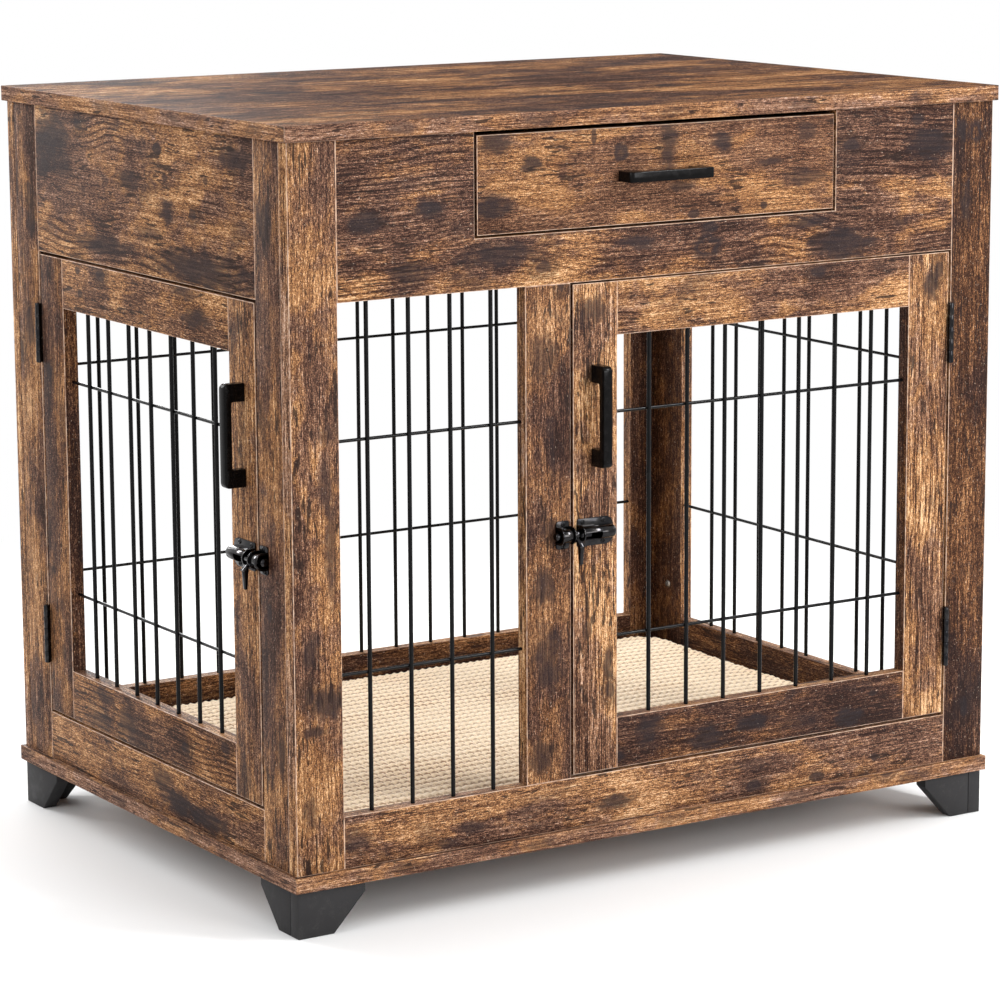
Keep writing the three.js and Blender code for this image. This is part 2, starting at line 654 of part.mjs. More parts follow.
// The shelf over the crate, with a ledge and an upright guide for each side of the drawer.
function addDrawerShelf(cabinet) {
  const ledgeTop = drawerBoxBottom - FIT;
  const lipTop = ledgeTop + GUIDE_RISE;
  const parts = [block([innerLeft, innerFront, shelfTop - SHELF], [innerRight, innerBack, shelfTop])];
  const guideEnd = innerFront + DRAWER_BOX_LENGTH;
  for (const side of [-1, 1]) {
    const boxSide = drawerMiddle + (side * DRAWER_BOX_WIDTH) / 2;
    const lipNear = boxSide + side * GUIDE_CLEARANCE;
    const lipFar = lipNear + side * GUIDE_LIP;
    const ledgeFar = boxSide - side * GUIDE_LEDGE;
    const [lip0, lip1] = [lipNear, lipFar].sort((a, b) => a - b);
    const [ledge0, ledge1] = [lipFar, ledgeFar].sort((a, b) => a - b);
    parts.push(block([lip0, innerFront, shelfTop - LAP], [lip1, guideEnd, lipTop]));
    parts.push(block([ledge0, innerFront, shelfTop - LAP], [ledge1, guideEnd, ledgeTop]));
  }
  piece(cabinet, 'drawer_shelf', toGeometry(unite(parts)), rusticBoard);
}

// ---------------------------------------------------------------- drawer

function addDrawer(cabinet) {
  const panelLow = drawerBoxBottom + DRAWER_PANEL_LIFT;
  const panelHigh = panelLow + DRAWER_PANEL;
  const entry = GROOVE_DEPTH - FIT;
  const boxBack = innerFront + DRAWER_BOX_LENGTH;
  const panelFrom = [drawerBoxLeft + DRAWER_WALL - entry, innerFront - entry, panelLow];
  const panelTo = [drawerBoxRight - DRAWER_WALL + entry, boxBack - DRAWER_WALL + entry, panelHigh];
  const groove = toSolid(
    block(
      panelFrom.map((value) => value - FIT),
      panelTo.map((value) => value + FIT),
    ),
  );

  const frontLow = [drawerMiddle - DRAWER_WIDTH / 2, frameFront, drawerFrontBottom];
  const frontHigh = [drawerMiddle + DRAWER_WIDTH / 2, innerFront, drawerFrontBottom + DRAWER_HEIGHT];
  board(cabinet, 'drawer_front', frontLow, frontHigh, groove);

  const boxTop = drawerBoxBottom + DRAWER_BOX_HEIGHT;
  const outer = block(
    [drawerBoxLeft, innerFront, drawerBoxBottom],
    [drawerBoxRight, boxBack, boxTop],
  );
  const inner = block(
    [drawerBoxLeft + DRAWER_WALL, innerFront - OVERCUT, drawerBoxBottom - OVERCUT],
    [drawerBoxRight - DRAWER_WALL, boxBack - DRAWER_WALL, boxTop + OVERCUT],
  );
  const wrap = toSolid(outer).subtract(toSolid(inner)).subtract(groove);
  piece(cabinet, 'drawer_wrap', toGeometry(wrap), drawerLining);
  board(cabinet, 'drawer_bottom', panelFrom, panelTo, null, drawerLining);

  const handle = handleShape().rotateY(Math.PI / 2);
  const handleMesh = piece(cabinet, 'drawer_handle', handle, blackHandle);
  handleMesh.position.set(drawerMiddle, frameFront, drawerFrontBottom + DRAWER_HEIGHT / 2);
}

// ---------------------------------------------------------------- sleeping pad

// A crowned cushion: rings of points from the middle of its underside, round its rolled and
// drawn-in edge, to the middle of its top.
function padShape() {
  const halfX = (innerRight - innerLeft) / 2 - PAD_CLEARANCE;
  const halfY = (innerBack - innerFront) / 2 - PAD_CLEARANCE;
  const rim = new THREE.Shape();
  const [w, h, r] = [halfX, halfY, PAD_CORNER];
  rim.moveTo(w, 0);
  rim.lineTo(w, h - r).absarc(w - r, h - r, r, 0, Math.PI / 2, false);
  rim.lineTo(-w + r, h).absarc(-w + r, h - r, r, Math.PI / 2, Math.PI, false);
  rim.lineTo(-w, -h + r).absarc(-w + r, -h + r, r, Math.PI, Math.PI * 1.5, false);
  rim.lineTo(w - r, -h).absarc(w - r, -h + r, r, Math.PI * 1.5, Math.PI * 2, false);
  rim.lineTo(w, 0);
  const outline = rim.getSpacedPoints(PAD_POINTS).slice(0, PAD_POINTS);

  // Each ring is [share of the way out from the middle, inset at the rim, height].
  const edge = [-90, -45, 0, 45, 90].map((degrees) => {
    const turn = THREE.MathUtils.degToRad(degrees);
    return [1, PAD_ROLL * (1 - Math.cos(turn)), (PAD_THICKNESS / 2) * (1 + Math.sin(turn))];
  });
  const face = [0.85, 0.5].map((share) => {
    return [share, PAD_ROLL, PAD_THICKNESS + PAD_CROWN * (1 - share ** 4)];
  });
  const rings = [...edge, ...face];
  const positions = [0, 0, 0];
  for (const [share, inset, height] of rings) {
    for (const point of outline) {
      const pinchX = PAD_PINCH * (1 - (point.y / halfY) ** 2);
      const pinchY = PAD_PINCH * (1 - (point.x / halfX) ** 2);
      const x = point.x * share * (1 - (inset + pinchX) / halfX);
      const y = point.y * share * (1 - (inset + pinchY) / halfY);
      positions.push(x, y, height);
    }
  }
  positions.push(0, 0, PAD_THICKNESS + PAD_CROWN);
  const index = [];
  const top = positions.length / 3 - 1;
  const at = (ring, i) => 1 + ring * PAD_POINTS + (i % PAD_POINTS);
  for (let i = 0; i < PAD_POINTS; i += 1) {
    index.push(0, at(0, i + 1), at(0, i));
    for (let ring = 0; ring < rings.length - 1; ring += 1) {
      index.push(at(ring, i), at(ring, i + 1), at(ring + 1, i + 1));
      index.push(at(ring, i), at(ring + 1, i + 1), at(ring + 1, i));
    }
    index.push(at(rings.length - 1, i), at(rings.length - 1, i + 1), top);
  }
  const geometry = new THREE.BufferGeometry();
  geometry.setAttribute('position', new THREE.Float32BufferAttribute(positions, 3));
  geometry.setIndex(index);
  geometry.computeVertexNormals();
  return geometry;
}

function addPad(cabinet) {
  const pad = piece(cabinet, 'sleeping_pad', padShape(), padFabric);
  pad.position.set((innerLeft + innerRight) / 2, (innerFront + innerBack) / 2, baseTop + FIT);
}

// ---------------------------------------------------------------- assembly

const cabinet = new THREE.Group();
cabinet.position.set(
  -(projectingSide + TOP_WIDTH) / 2,
  -(projectingFront + TOP_DEPTH) / 2,
  0,
);

addBoards(cabinet);
addLegs(cabinet);
addFrontFrame(cabinet);
addLeftFrame(cabinet);
addRightFrame(cabinet);
addBackFrame(cabinet);
addDrawerShelf(cabinet);
addDrawer(cabinet);
addPad(cabinet);

const frontDoor = new THREE.Group();
frontDoor.position.set(frontDoorEdge, frameFront, 0);
cabinet.add(frontDoor);
addDoor(frontDoor, 'front', FRONT_DOOR_WIDTH, (geometry) => geometry);

const sideDoor = new THREE.Group();
sideDoor.position.set(frameLeft, sideDoorEdge, 0);
cabinet.add(sideDoor);
addDoor(sideDoor, 'side', sideDoorWidth, acrossCorner);

const table = new THREE.Group();
table.add(cabinet);

export default table;
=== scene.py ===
from math import pi, radians

import bmesh
import bpy
import numpy as np
from mathutils import Matrix, Vector


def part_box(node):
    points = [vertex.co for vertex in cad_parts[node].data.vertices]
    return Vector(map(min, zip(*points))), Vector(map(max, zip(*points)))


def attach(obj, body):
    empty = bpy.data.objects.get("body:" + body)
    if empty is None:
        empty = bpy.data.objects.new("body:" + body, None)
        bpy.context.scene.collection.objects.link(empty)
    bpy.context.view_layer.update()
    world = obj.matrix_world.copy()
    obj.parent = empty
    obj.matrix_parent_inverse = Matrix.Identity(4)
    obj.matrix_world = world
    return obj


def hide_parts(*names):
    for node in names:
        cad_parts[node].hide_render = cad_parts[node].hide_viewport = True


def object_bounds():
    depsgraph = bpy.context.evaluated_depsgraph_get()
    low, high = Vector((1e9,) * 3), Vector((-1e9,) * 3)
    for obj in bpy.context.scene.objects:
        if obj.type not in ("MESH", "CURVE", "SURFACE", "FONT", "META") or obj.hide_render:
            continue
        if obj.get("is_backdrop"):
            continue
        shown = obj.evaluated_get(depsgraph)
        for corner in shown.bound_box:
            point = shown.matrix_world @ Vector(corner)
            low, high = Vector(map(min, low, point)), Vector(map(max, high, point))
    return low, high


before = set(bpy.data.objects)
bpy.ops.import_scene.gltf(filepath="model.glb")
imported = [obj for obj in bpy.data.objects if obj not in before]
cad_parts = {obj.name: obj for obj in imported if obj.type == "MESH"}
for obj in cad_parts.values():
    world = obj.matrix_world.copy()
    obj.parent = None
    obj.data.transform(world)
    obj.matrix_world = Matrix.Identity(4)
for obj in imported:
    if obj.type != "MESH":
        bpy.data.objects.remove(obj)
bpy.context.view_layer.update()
MM = 0.001

# ------------------------------------------------------------------ corner legs
# Each leg is two 15 mm boards butted at the corner, cut back on a slant towards the floor,
# painted charcoal and screwed up into the base board.

LEG_BOARD = 15 * MM
LEG_FOOT = 38 * MM  # along each side at the floor
LEG_LIP = 9 * MM  # upright stretch above the slant
LEG_JOINT = 0.3 * MM
LEG_EDGE = 0.9 * MM  # sanded edges
LEG_CHARCOAL = (40, 39, 40)
LEG_SCUFF = (56, 55, 55)


def paint(red, green, blue):
    """A colour as a paint chart gives it, 0 to 255, made into the shader's linear one."""
    share = [value / 255 for value in (red, green, blue)]
    return (*[s / 12.92 if s <= 0.04045 else ((s + 0.055) / 1.055) ** 2.4 for s in share], 1)


def shader_node(tree, kind, sockets=None, **settings):
    """Adds a node; sockets maps its inputs to values or to other nodes' outputs."""
    made = tree.nodes.new("ShaderNode" + kind)
    for name, value in settings.items():
        setattr(made, name, value)
    for name, value in (sockets or {}).items():
        if isinstance(value, bpy.types.NodeSocket):
            tree.links.new(value, made.inputs[name])
        else:
            made.inputs[name].default_value = value
    return made


def maths(tree, operation, first, second=0.0, clamp=False):
    return shader_node(
        tree, "Math", {0: first, 1: second}, operation=operation, use_clamp=clamp
    ).outputs[0]


def fade(tree, value, start, end, low=0.0, high=1.0):
    """A smooth step from low, where value is start, to high, where it is end."""
    sockets = {"Value": value, "From Min": start, "From Max": end, "To Min": low, "To Max": high}
    return shader_node(tree, "MapRange", sockets, interpolation_type="SMOOTHSTEP").outputs[0]


def noise(tree, place, scale, detail=2.0, roughness=0.5, distortion=0.0):
    """Noise with its own scale per metre in each direction."""
    scaled = shader_node(tree, "VectorMath", {0: place, 1: scale}, operation="MULTIPLY")
    sockets = {"Vector": scaled.outputs[0], "Scale": 1.0, "Detail": detail}
    sockets.update({"Roughness": roughness, "Distortion": distortion})
    return shader_node(tree, "TexNoise", sockets).outputs[0]


def mixed(tree, share, first, second, blend="MIX"):
    """Two colours mixed: second over first by share."""
    sockets = {0: share, 6: first, 7: second}
    return shader_node(tree, "Mix", sockets, data_type="RGBA", blend_type=blend).outputs[2]


def new_material(name, **shader_values):
    material = bpy.data.materials.new(name)
    material.use_nodes = True
    tree = material.node_tree
    shader = tree.nodes["Principled BSDF"]
    for socket, value in shader_values.items():
        shader.inputs[socket.replace("_", " ")].default_value = value
    place = shader_node(tree, "TexCoord").outputs["Object"]
    return material, tree, shader, place


def grain_bump(tree, shader, height, strength, distance):
    sockets = {"Height": height, "Strength": strength, "Distance": distance}
    tree.links.new(shader_node(tree, "Bump", sockets).outputs[0], shader.inputs["Normal"])


def deselect():
    if bpy.context.object and bpy.context.object.mode == "EDIT":
        bpy.ops.object.mode_set(mode="OBJECT")
    bpy.ops.object.select_all(action="DESELECT")


def select_only(piece):
    deselect()
    bpy.context.view_layer.objects.active = piece
    piece.select_set(True)


def edit(piece):
    """Opens one piece alone in edit mode."""
    select_only(piece)
    bpy.ops.object.mode_set(mode="EDIT")


def new_object(name, data):
    made = bpy.data.objects.new(name, data)
    bpy.context.scene.collection.objects.link(made)
    return made


def pick(kind, keep):
    """In edit mode, selects just the verts, edges or faces for which keep() is true."""
    modes = [kind == name for name in ("verts", "edges", "faces")]
    bpy.ops.mesh.select_all(action="DESELECT")
    bpy.context.tool_settings.mesh_select_mode = modes
    mesh = bmesh.from_edit_mesh(bpy.context.object.data)
    chosen = [item for item in getattr(mesh, kind) if keep(item)]
    for item in chosen:
        item.select_set(True)
    bmesh.update_edit_mesh(bpy.context.object.data)
    return len(chosen)


def is_sharp(edge, degrees=40):
    return len(edge.link_faces) == 2 and edge.calc_face_angle(0) > radians(degrees)


def middle_of(edge):
    return (edge.verts[0].co + edge.verts[1].co) / 2


def bevel_edges(keep, width, segments=2, material=-1):
    if pick("edges", keep):
        bpy.ops.mesh.bevel(offset=width, segments=segments, affect="EDGES", material=material)


def block(name, low, high):
    """A new box between two corners, left open in edit mode."""
    deselect()
    low, high = Vector(low), Vector(high)
    bpy.ops.mesh.primitive_cube_add(size=1, location=(low + high) / 2)
    piece = bpy.context.object
    piece.name = piece.data.name = name
    piece.scale = high - low
    bpy.ops.object.transform_apply(location=True, rotation=True, scale=True)
    edit(piece)
    return piece


def cut_off(point, outwards):
    """In edit mode, cuts away all that lies past a point in a direction, and closes the cut."""
    bpy.ops.mesh.select_all(action="SELECT")
    bpy.ops.mesh.bisect(plane_co=point, plane_no=outwards, use_fill=True, clear_outer=True)


def join(name, pieces):
    deselect()
    for piece in pieces:
        piece.select_set(True)
    bpy.context.view_layer.objects.active = pieces[0]
    if len(pieces) > 1:
        bpy.ops.object.join()
    pieces[0].name = pieces[0].data.name = name
    return pieces[0]


def apply_modifiers(piece):
    select_only(piece)
    for modifier in list(piece.modifiers):
        bpy.ops.object.modifier_apply(modifier=modifier.name)


def smooth(piece, degrees=35):
    select_only(piece)
    bpy.ops.object.shade_smooth_by_angle(angle=radians(degrees))


def give_materials(piece, materials):
    piece.data.materials.clear()
    for material in materials:
        piece.data.materials.append(material)


def finish_piece(piece, body, slot, materials, nodes=()):
    """Gives a piece its materials and its body, and hides the CAD nodes that it stands for. Its slot is not
    used.
    """
    deselect()
    if materials:
        give_materials(piece, materials)
    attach(piece, body)
    if nodes:
        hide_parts(*nodes)
    return piece


leg_paint, tree, shader, place = new_material("charcoal leg paint", Specular_IOR_Level=0.2)
mottle = noise(tree, place, (90, 90, 90), 4, 0.6)
grit = noise(tree, place, (900, 900, 900), 2, 0.6)
scuffed = maths(tree, "MULTIPLY", fade(tree, mottle, 0.45, 0.75), fade(tree, grit, 0.3, 0.7))
colour = mixed(tree, scuffed, paint(*LEG_CHARCOAL), paint(*LEG_SCUFF))
tree.links.new(colour, shader.inputs["Base Color"])
tree.links.new(fade(tree, mottle, 0.2, 0.8, 0.5, 0.72), shader.inputs["Roughness"])
grain_bump(tree, shader, grit, 0.12, 0.3 * MM)

leg_low, leg_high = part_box("front_left_leg")
leg_length, leg_height = leg_high.x - leg_low.x, leg_high.z
slant = Vector((leg_height - LEG_LIP, 0, LEG_FOOT - leg_length))  # square to the slant, outwards
front_board = block("leg", (0, 0, 0), (leg_length, LEG_BOARD, leg_height))
cut_off((LEG_FOOT, 0, 0), slant)
bevel_edges(lambda edge: is_sharp(edge, 20), LEG_EDGE)
side_board = block("leg", (0, LEG_BOARD + LEG_JOINT, 0), (LEG_BOARD, leg_length, leg_height))
cut_off((0, LEG_FOOT, 0), (0, slant.x, slant.z))
bevel_edges(lambda edge: is_sharp(edge, 20), LEG_EDGE)
leg = join("leg", [front_board, side_board])
smooth(leg)
LEG_TURNS = {"front_left": 0, "front_right": 90, "back_right": 180, "back_left": 270}
for corner, turn in LEG_TURNS.items():
    low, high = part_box(f"{corner}_leg")
    at_right, at_back = corner.endswith("right"), corner.startswith("back")
    foot = Vector((high.x if at_right else low.x, high.y if at_back else low.y, 0))
    copy = new_object(f"{corner}_leg_boards", leg.data.copy())
    copy.data.transform(Matrix.Translation(foot) @ Matrix.Rotation(radians(turn), 4, "Z"))
    finish_piece(copy, "cabinet", "black_leg", [leg_paint], [f"{corner}_leg"])
bpy.data.objects.remove(leg)

# ------------------------------------------------------------------ laminated boards
# Every board of the cabinet is 15 mm chipboard with a printed rustic-brown laminate, its
# grain along the board, and a thin pale line where two faces meet: partly the paler edge of the board,
# partly a painted highlight along the eased edge. Boards are screwed and doweled to each other, so each is
# one piece with its own stretch of the print.

BOARD_EDGE = 0.55 * MM  # eased edge round a board's outer face, where the pale line shows
BACK_EDGE = 0.15 * MM
SMALL_KNOT = 11 * MM  # a listed spot under this half length is a knot with a firm edge
FIRM_KNOT = {"Ragged": 1.0, "Softness": 0.22}
TORN_SMUDGE = {"Ragged": 2.4, "Softness": 0.5}
WIRE_HOLE = 6 * MM  # shorter edges are the rims of wire holes, which stay as drilled
PRINT_TONES = [  # from the dark pores to the worn, light ones
    (0.00, (38, 23, 18)),
    (0.20, (64, 40, 29)),
    (0.38, (97, 68, 52)),
    (0.52, (130, 96, 73)),
    (0.66, (161, 121, 89)),
    (0.82, (196, 158, 128)),
    (1.00, (232, 208, 188)),
]
BASE_TONE = 0.455  # where a plain board stands among the tones
RING_PITCH = 6 * MM
RING_DEPTH = 0.22
BURNT = (46, 40, 43)
GOLDEN = (252, 236, 204)
PURPLE = (224, 220, 228)
CRACK = (36, 24, 20)
FLECK = (236, 212, 190)
# the pale line: partly the board's paler edge, partly a painted highlight on the eased edge
PALE_LINE_AND_HIGHLIGHT = (214, 184, 160)
PALE_LINE_WORN = (150, 112, 86)


def rustic_print():
    """The printed pattern as a group: Place is metres along, across and through the board."""
    tree = bpy.data.node_groups.new("rustic print", "ShaderNodeTree")
    sockets = {"Tone": 0.0, "Patches": 1.0, "Streaks": 1.0, "Speckle": 1.0, "Rings": 0.4}
    sockets.update({"Smudging": 0.4, "Spots": 0.0, "Warmth": 0.5, "Knots": 1.0, "Cracks": 1.0})
    tree.interface.new_socket("Place", in_out="INPUT", socket_type="NodeSocketVector")
    for name, value in sockets.items():
        socket = tree.interface.new_socket(name, in_out="INPUT", socket_type="NodeSocketFloat")
        socket.default_value = value
    tree.interface.new_socket("Colour", in_out="OUTPUT", socket_type="NodeSocketColor")
    for name in ("Roughness", "Height"):
        tree.interface.new_socket(name, in_out="OUTPUT", socket_type="NodeSocketFloat")
    given = tree.nodes.new("NodeGroupInput").outputs
    result = tree.nodes.new("NodeGroupOutput").inputs
    place = given["Place"]

    def swing(value, amount, middle=0.5):
        return maths(tree, "MULTIPLY", maths(tree, "SUBTRACT", value, middle), amount)

    def times(value, share):
        return maths(tree, "MULTIPLY", value, share)

    def plus(*values):
        total = values[0]
        for value in values[1:]:
            total = maths(tree, "ADD", total, value)
        return total

    patches = noise(tree, place, (8, 15, 15), 2, 0.5, 0.5)
    mottling = noise(tree, place, (40, 70, 70), 1, 0.5, 0.8)
    streaks = noise(tree, place, (9, 150, 150), 2, 0.65, 0.3)
    lines = noise(tree, place, (20, 800, 800), 1, 0.5, 0.1)
    grain = noise(tree, place, (200, 1200, 1200), 1, 0.6)
    speckle = noise(tree, place, (900, 1200, 1200), 1, 0.6)
    # growth rings: dark lines along the board that close into long ovals
    bend = noise(tree, place, (5.5, 10, 10), 1, 0.4)
    across = shader_node(tree, "SeparateXYZ", {0: place}).outputs[1]
    ring_phase = plus(times(across, 2 * pi / RING_PITCH), times(bend, 2 * pi * 11))
    ring_lines = fade(tree, maths(tree, "SINE", ring_phase), 0.1, 0.95)
    ring_area = fade(tree, noise(tree, place, (7, 13, 13), 1), 0.40, 0.58)
    rings = times(times(ring_lines, ring_area), given["Rings"])
    tone = plus(
        maths(tree, "ADD", given["Tone"], BASE_TONE),
        times(swing(patches, 1.0), given["Patches"]),
        times(swing(mottling, 0.35), given["Patches"]),
        times(swing(streaks, 0.5), given["Streaks"]),
        times(swing(lines, 0.75), given["Streaks"]),
        times(swing(grain, 1.2), given["Speckle"]),
        times(swing(speckle, 1.25), given["Speckle"]),
        times(rings, -RING_DEPTH),
    )
    # pores: fine dark dashes along the grain, all over
    pore_field = noise(tree, place, (110, 760, 760), 1, 0.5, 0.2)
    pores = times(fade(tree, pore_field, 0.43, 0.33), given["Speckle"])
    # cracks: short black dashes along the grain, crowded in some places
    crack_field = noise(tree, place, (42, 300, 300), 1, 0.5, 0.5)
    crack_part = noise(tree, place, (13, 24, 24), 2, 0.6, 0.5)
    crack_edge = plus(fade(tree, crack_part, 0.42, 0.64, 0.78, 0.58), swing(given["Cracks"], -0.12, 1.0))
    crack_depth = maths(tree, "SUBTRACT", crack_field, crack_edge)
    cracks = fade(tree, crack_depth, 0.0, 0.03)
    # knots: a few round eyes with a burnt rim, where the cell's own number is high
    flat = shader_node(tree, "VectorMath", {0: place, 1: (8, 13, 0)}, operation="MULTIPLY").outputs[0]
    wobble = noise(tree, place, (90, 90, 90), 2)
    cells = shader_node(tree, "TexVoronoi", {"Vector": flat, "Scale": 1.0}, voronoi_dimensions="2D")
    eye = plus(cells.outputs["Distance"], swing(wobble, 0.10))
    number = shader_node(tree, "SeparateColor", {0: cells.outputs["Color"]}).outputs[0]
    has_knot = times(fade(tree, number, 0.60, 0.62), given["Knots"])
    knot = times(fade(tree, eye, 0.10, 0.05), has_knot)
    knot_rim = times(times(fade(tree, eye, 0.18, 0.10), fade(tree, eye, 0.06, 0.12)), has_knot)
    # burnt smudges, ragged at their edges, from the print itself and from the places given
    haze = noise(tree, place, (12, 20, 20), 4, 0.62, 0.9)
    smudge = times(fade(tree, haze, 0.58, 0.68), given["Smudging"])
    burnt = maths(tree, "MAXIMUM", smudge, given["Spots"])
    burnt = maths(tree, "MAXIMUM", burnt, times(knot, 0.85))
    burnt = maths(tree, "MULTIPLY", burnt, plus(1.0, swing(speckle, 1.8), swing(grain, 1.8)), clamp=True)

    ramp = shader_node(tree, "ValToRGB", {0: tone})
    stops = ramp.color_ramp.elements
    while len(stops) < len(PRINT_TONES):
        stops.new(0.5)
    for stop, (position, colour) in zip(stops, PRINT_TONES):
        stop.position = position
        stop.color = paint(*colour)
    hue = fade(tree, plus(patches, swing(mottling, 0.4)), 0.40, 0.60)
    hue = maths(tree, "ADD", hue, maths(tree, "SUBTRACT", given["Warmth"], 0.5), clamp=True)
    tint = mixed(tree, hue, paint(*PURPLE), paint(*GOLDEN))
    colour = mixed(tree, 1.0, ramp.outputs[0], tint, "MULTIPLY")
    burnt_tone = mixed(tree, fade(tree, grain, 0.35, 0.65), paint(*BURNT), paint(*[v * 0.6 for v in BURNT]))
    colour = mixed(tree, times(burnt, 0.85), colour, burnt_tone)
    dark = maths(tree, "MAXIMUM", times(cracks, 0.85), times(knot_rim, 0.6))
    dark = maths(tree, "MAXIMUM", dark, times(pores, 0.35))
    colour = mixed(tree, dark, colour, paint(*CRACK))
    # flecks: small pale chips of the worn print
    chips = noise(tree, place, (400, 700, 700), 1, 0.5)
    chip = times(fade(tree, chips, 0.71, 0.77, 0.0, 0.4), plus(given["Speckle"], times(burnt, -0.9)))
    colour = mixed(tree, chip, colour, paint(*FLECK))
    tree.links.new(colour, result["Colour"])
    tree.links.new(fade(tree, speckle, 0.25, 0.75, 0.68, 0.48), result["Roughness"])
    height = plus(times(grain, 0.5), times(speckle, 0.4), times(lines, 0.4), times(cracks, -0.8))
    tree.links.new(height, result["Height"])
    return tree


def burnt_spot():
    """A group for one listed smudge: soft inside, ragged round its edge."""
    tree = bpy.data.node_groups.new("burnt spot", "ShaderNodeTree")
    for name in ("Place", "Middle", "Reach", "Grain"):
        tree.interface.new_socket(name, in_out="INPUT", socket_type="NodeSocketVector")
    for name in ("Depth", "Hollow", "Ragged", "Softness"):
        tree.interface.new_socket(name, in_out="INPUT", socket_type="NodeSocketFloat")
    tree.interface.new_socket("Spot", in_out="OUTPUT", socket_type="NodeSocketFloat")
    given = tree.nodes.new("NodeGroupInput").outputs
    result = tree.nodes.new("NodeGroupOutput").inputs
    moved = shader_node(tree, "VectorMath", {0: given["Place"], 1: given["Middle"]}, operation="SUBTRACT")
    sized = shader_node(tree, "VectorMath", {0: moved.outputs[0], 1: given["Reach"]}, operation="DIVIDE")
    away = shader_node(tree, "VectorMath", {0: sized.outputs[0]}, operation="LENGTH").outputs["Value"]
    ragged = noise(tree, given["Grain"], (55, 110, 110), 4, 0.65)
    torn = maths(tree, "MULTIPLY", maths(tree, "SUBTRACT", ragged, 0.5), given["Ragged"])
    edge = maths(tree, "ADD", away, torn)
    outer = maths(tree, "ADD", 0.95, given["Softness"])
    inner = maths(tree, "SUBTRACT", 0.95, given["Softness"])
    spot = maths(tree, "MULTIPLY", fade(tree, edge, outer, inner), given["Depth"])
    heart = maths(tree, "MULTIPLY", fade(tree, edge, 0.6, 0.3), given["Hollow"])
    spot = maths(tree, "MULTIPLY", spot, maths(tree, "SUBTRACT", 1.0, heart))
    tree.links.new(spot, result["Spot"])
    return tree


rustic = rustic_print()
spot_group = burnt_spot()


def laminate(name, along, across, seed, spots=(), shine=0.1, **look):
    """The rustic laminate on one board, its grain along one axis and its rings across another."""
    material, tree, shader, place = new_material(f"rustic laminate, {name}", Specular_IOR_Level=shine)
    turn = Matrix((along, across, along.cross(across))).to_euler()
    shift = (seed * 0.371 % 3, seed * 0.613 % 3, seed * 0.237 % 3)
    sockets = {"Vector": place, "Rotation": turn, "Location": shift}
    board_place = shader_node(tree, "Mapping", sockets).outputs[0]
    printed = shader_node(tree, "Group", {"Place": board_place, **look}, node_tree=rustic)
    burnt = None
    for middle, reach, depth, hollow in spots:
        sockets = {"Place": place, "Grain": board_place, "Middle": middle, "Reach": reach}
        sockets.update({"Depth": depth, "Hollow": hollow})
        sockets.update(FIRM_KNOT if sorted(reach)[1] < SMALL_KNOT else TORN_SMUDGE)
        spot = shader_node(tree, "Group", sockets, node_tree=spot_group)
        burnt = spot.outputs[0] if burnt is None else maths(tree, "MAXIMUM", burnt, spot.outputs[0])
    if burnt is not None:
        tree.links.new(burnt, printed.inputs["Spots"])
    tree.links.new(printed.outputs["Colour"], shader.inputs["Base Color"])
    tree.links.new(printed.outputs["Roughness"], shader.inputs["Roughness"])
    grain_bump(tree, shader, printed.outputs["Height"], 0.25, 0.25 * MM)
    return material


def two_tone(name, tones, cloud, share, gloss=None, **shader_values):
    """A finish of two near tones whose colour and gloss follow one cloudy pattern."""
    material, tree, shader, place = new_material(name, **shader_values)
    scale, detail, roughness = cloud
    pattern = noise(tree, place, (scale, scale, scale), detail, roughness)
    colour = mixed(tree, fade(tree, pattern, *share), paint(*tones[0]), paint(*tones[1]))
    tree.links.new(colour, shader.inputs["Base Color"])
    if gloss:
        tree.links.new(fade(tree, pattern, *gloss), shader.inputs["Roughness"])
    return material, tree, shader, place


tones = (PALE_LINE_AND_HIGHLIGHT, PALE_LINE_WORN)
# the pale edge line, partly painted highlight
pale_line_and_highlight, *_ = two_tone("pale edge line and painted highlight", tones, (140, 3, 0.6), (0.35, 0.7), Roughness=0.55)


def copy_of(node, name):
    """A copy of a CAD node's mesh, merged, its flat faces whole, left open in edit mode."""
    piece = new_object(name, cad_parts[node].data.copy())
    select_only(piece)
    if piece.data.has_custom_normals:
        bpy.ops.mesh.customdata_custom_splitnormals_clear()
    edit(piece)
    bpy.ops.mesh.select_all(action="SELECT")
    bpy.ops.mesh.remove_doubles(threshold=0.001 * MM)
    bpy.ops.mesh.dissolve_limited(angle_limit=radians(1))
    return piece


OUTSIDE = {  # which way each frame's outer face looks
    "front": Vector((0, -1, 0)),
    "drawer": Vector((0, -1, 0)),
    "side": Vector((-1, 0, 0)),
    "left": Vector((-1, 0, 0)),
    "right": Vector((1, 0, 0)),
    "back": Vector((0, 1, 0)),
}
AXES = [Vector((1, 0, 0)), Vector((0, 1, 0)), Vector((0, 0, 1))]


BANDING = dict(Tone=0.06, Warmth=0.75, Patches=0.35, Streaks=1.6, Smudging=0.0, Knots=0.0)
INNER = dict(Tone=-0.16, Warmth=0.7, Patches=0.7, Smudging=0.3, Knots=0.5)
# the edges of doors and drawer front that stand in a gap get this darker print: painted shade of the gap
GAP_EDGE_SHADE = dict(Tone=-0.22, Warmth=0.6, Patches=0.35, Smudging=0.0, Knots=0.0)
banding, gap_edge_shade, inner_print = {}, {}, {}
for axis, name in enumerate(("along x", "along y", "along z")):
    along, across = AXES[axis], AXES[(axis + 1) % 3]
    banding[axis] = laminate(f"edge banding, {name}", along, across, 101 + axis, **BANDING)
    gap_edge_shade[axis] = laminate(f"painted shade on edges in a gap, {name}", along, across, 106 + axis, **GAP_EDGE_SHADE)
    across = AXES[0] if axis == 2 else AXES[2]
    inner_print[axis] = laminate(f"inner faces, {name}", along, across, 111 + axis, **INNER)


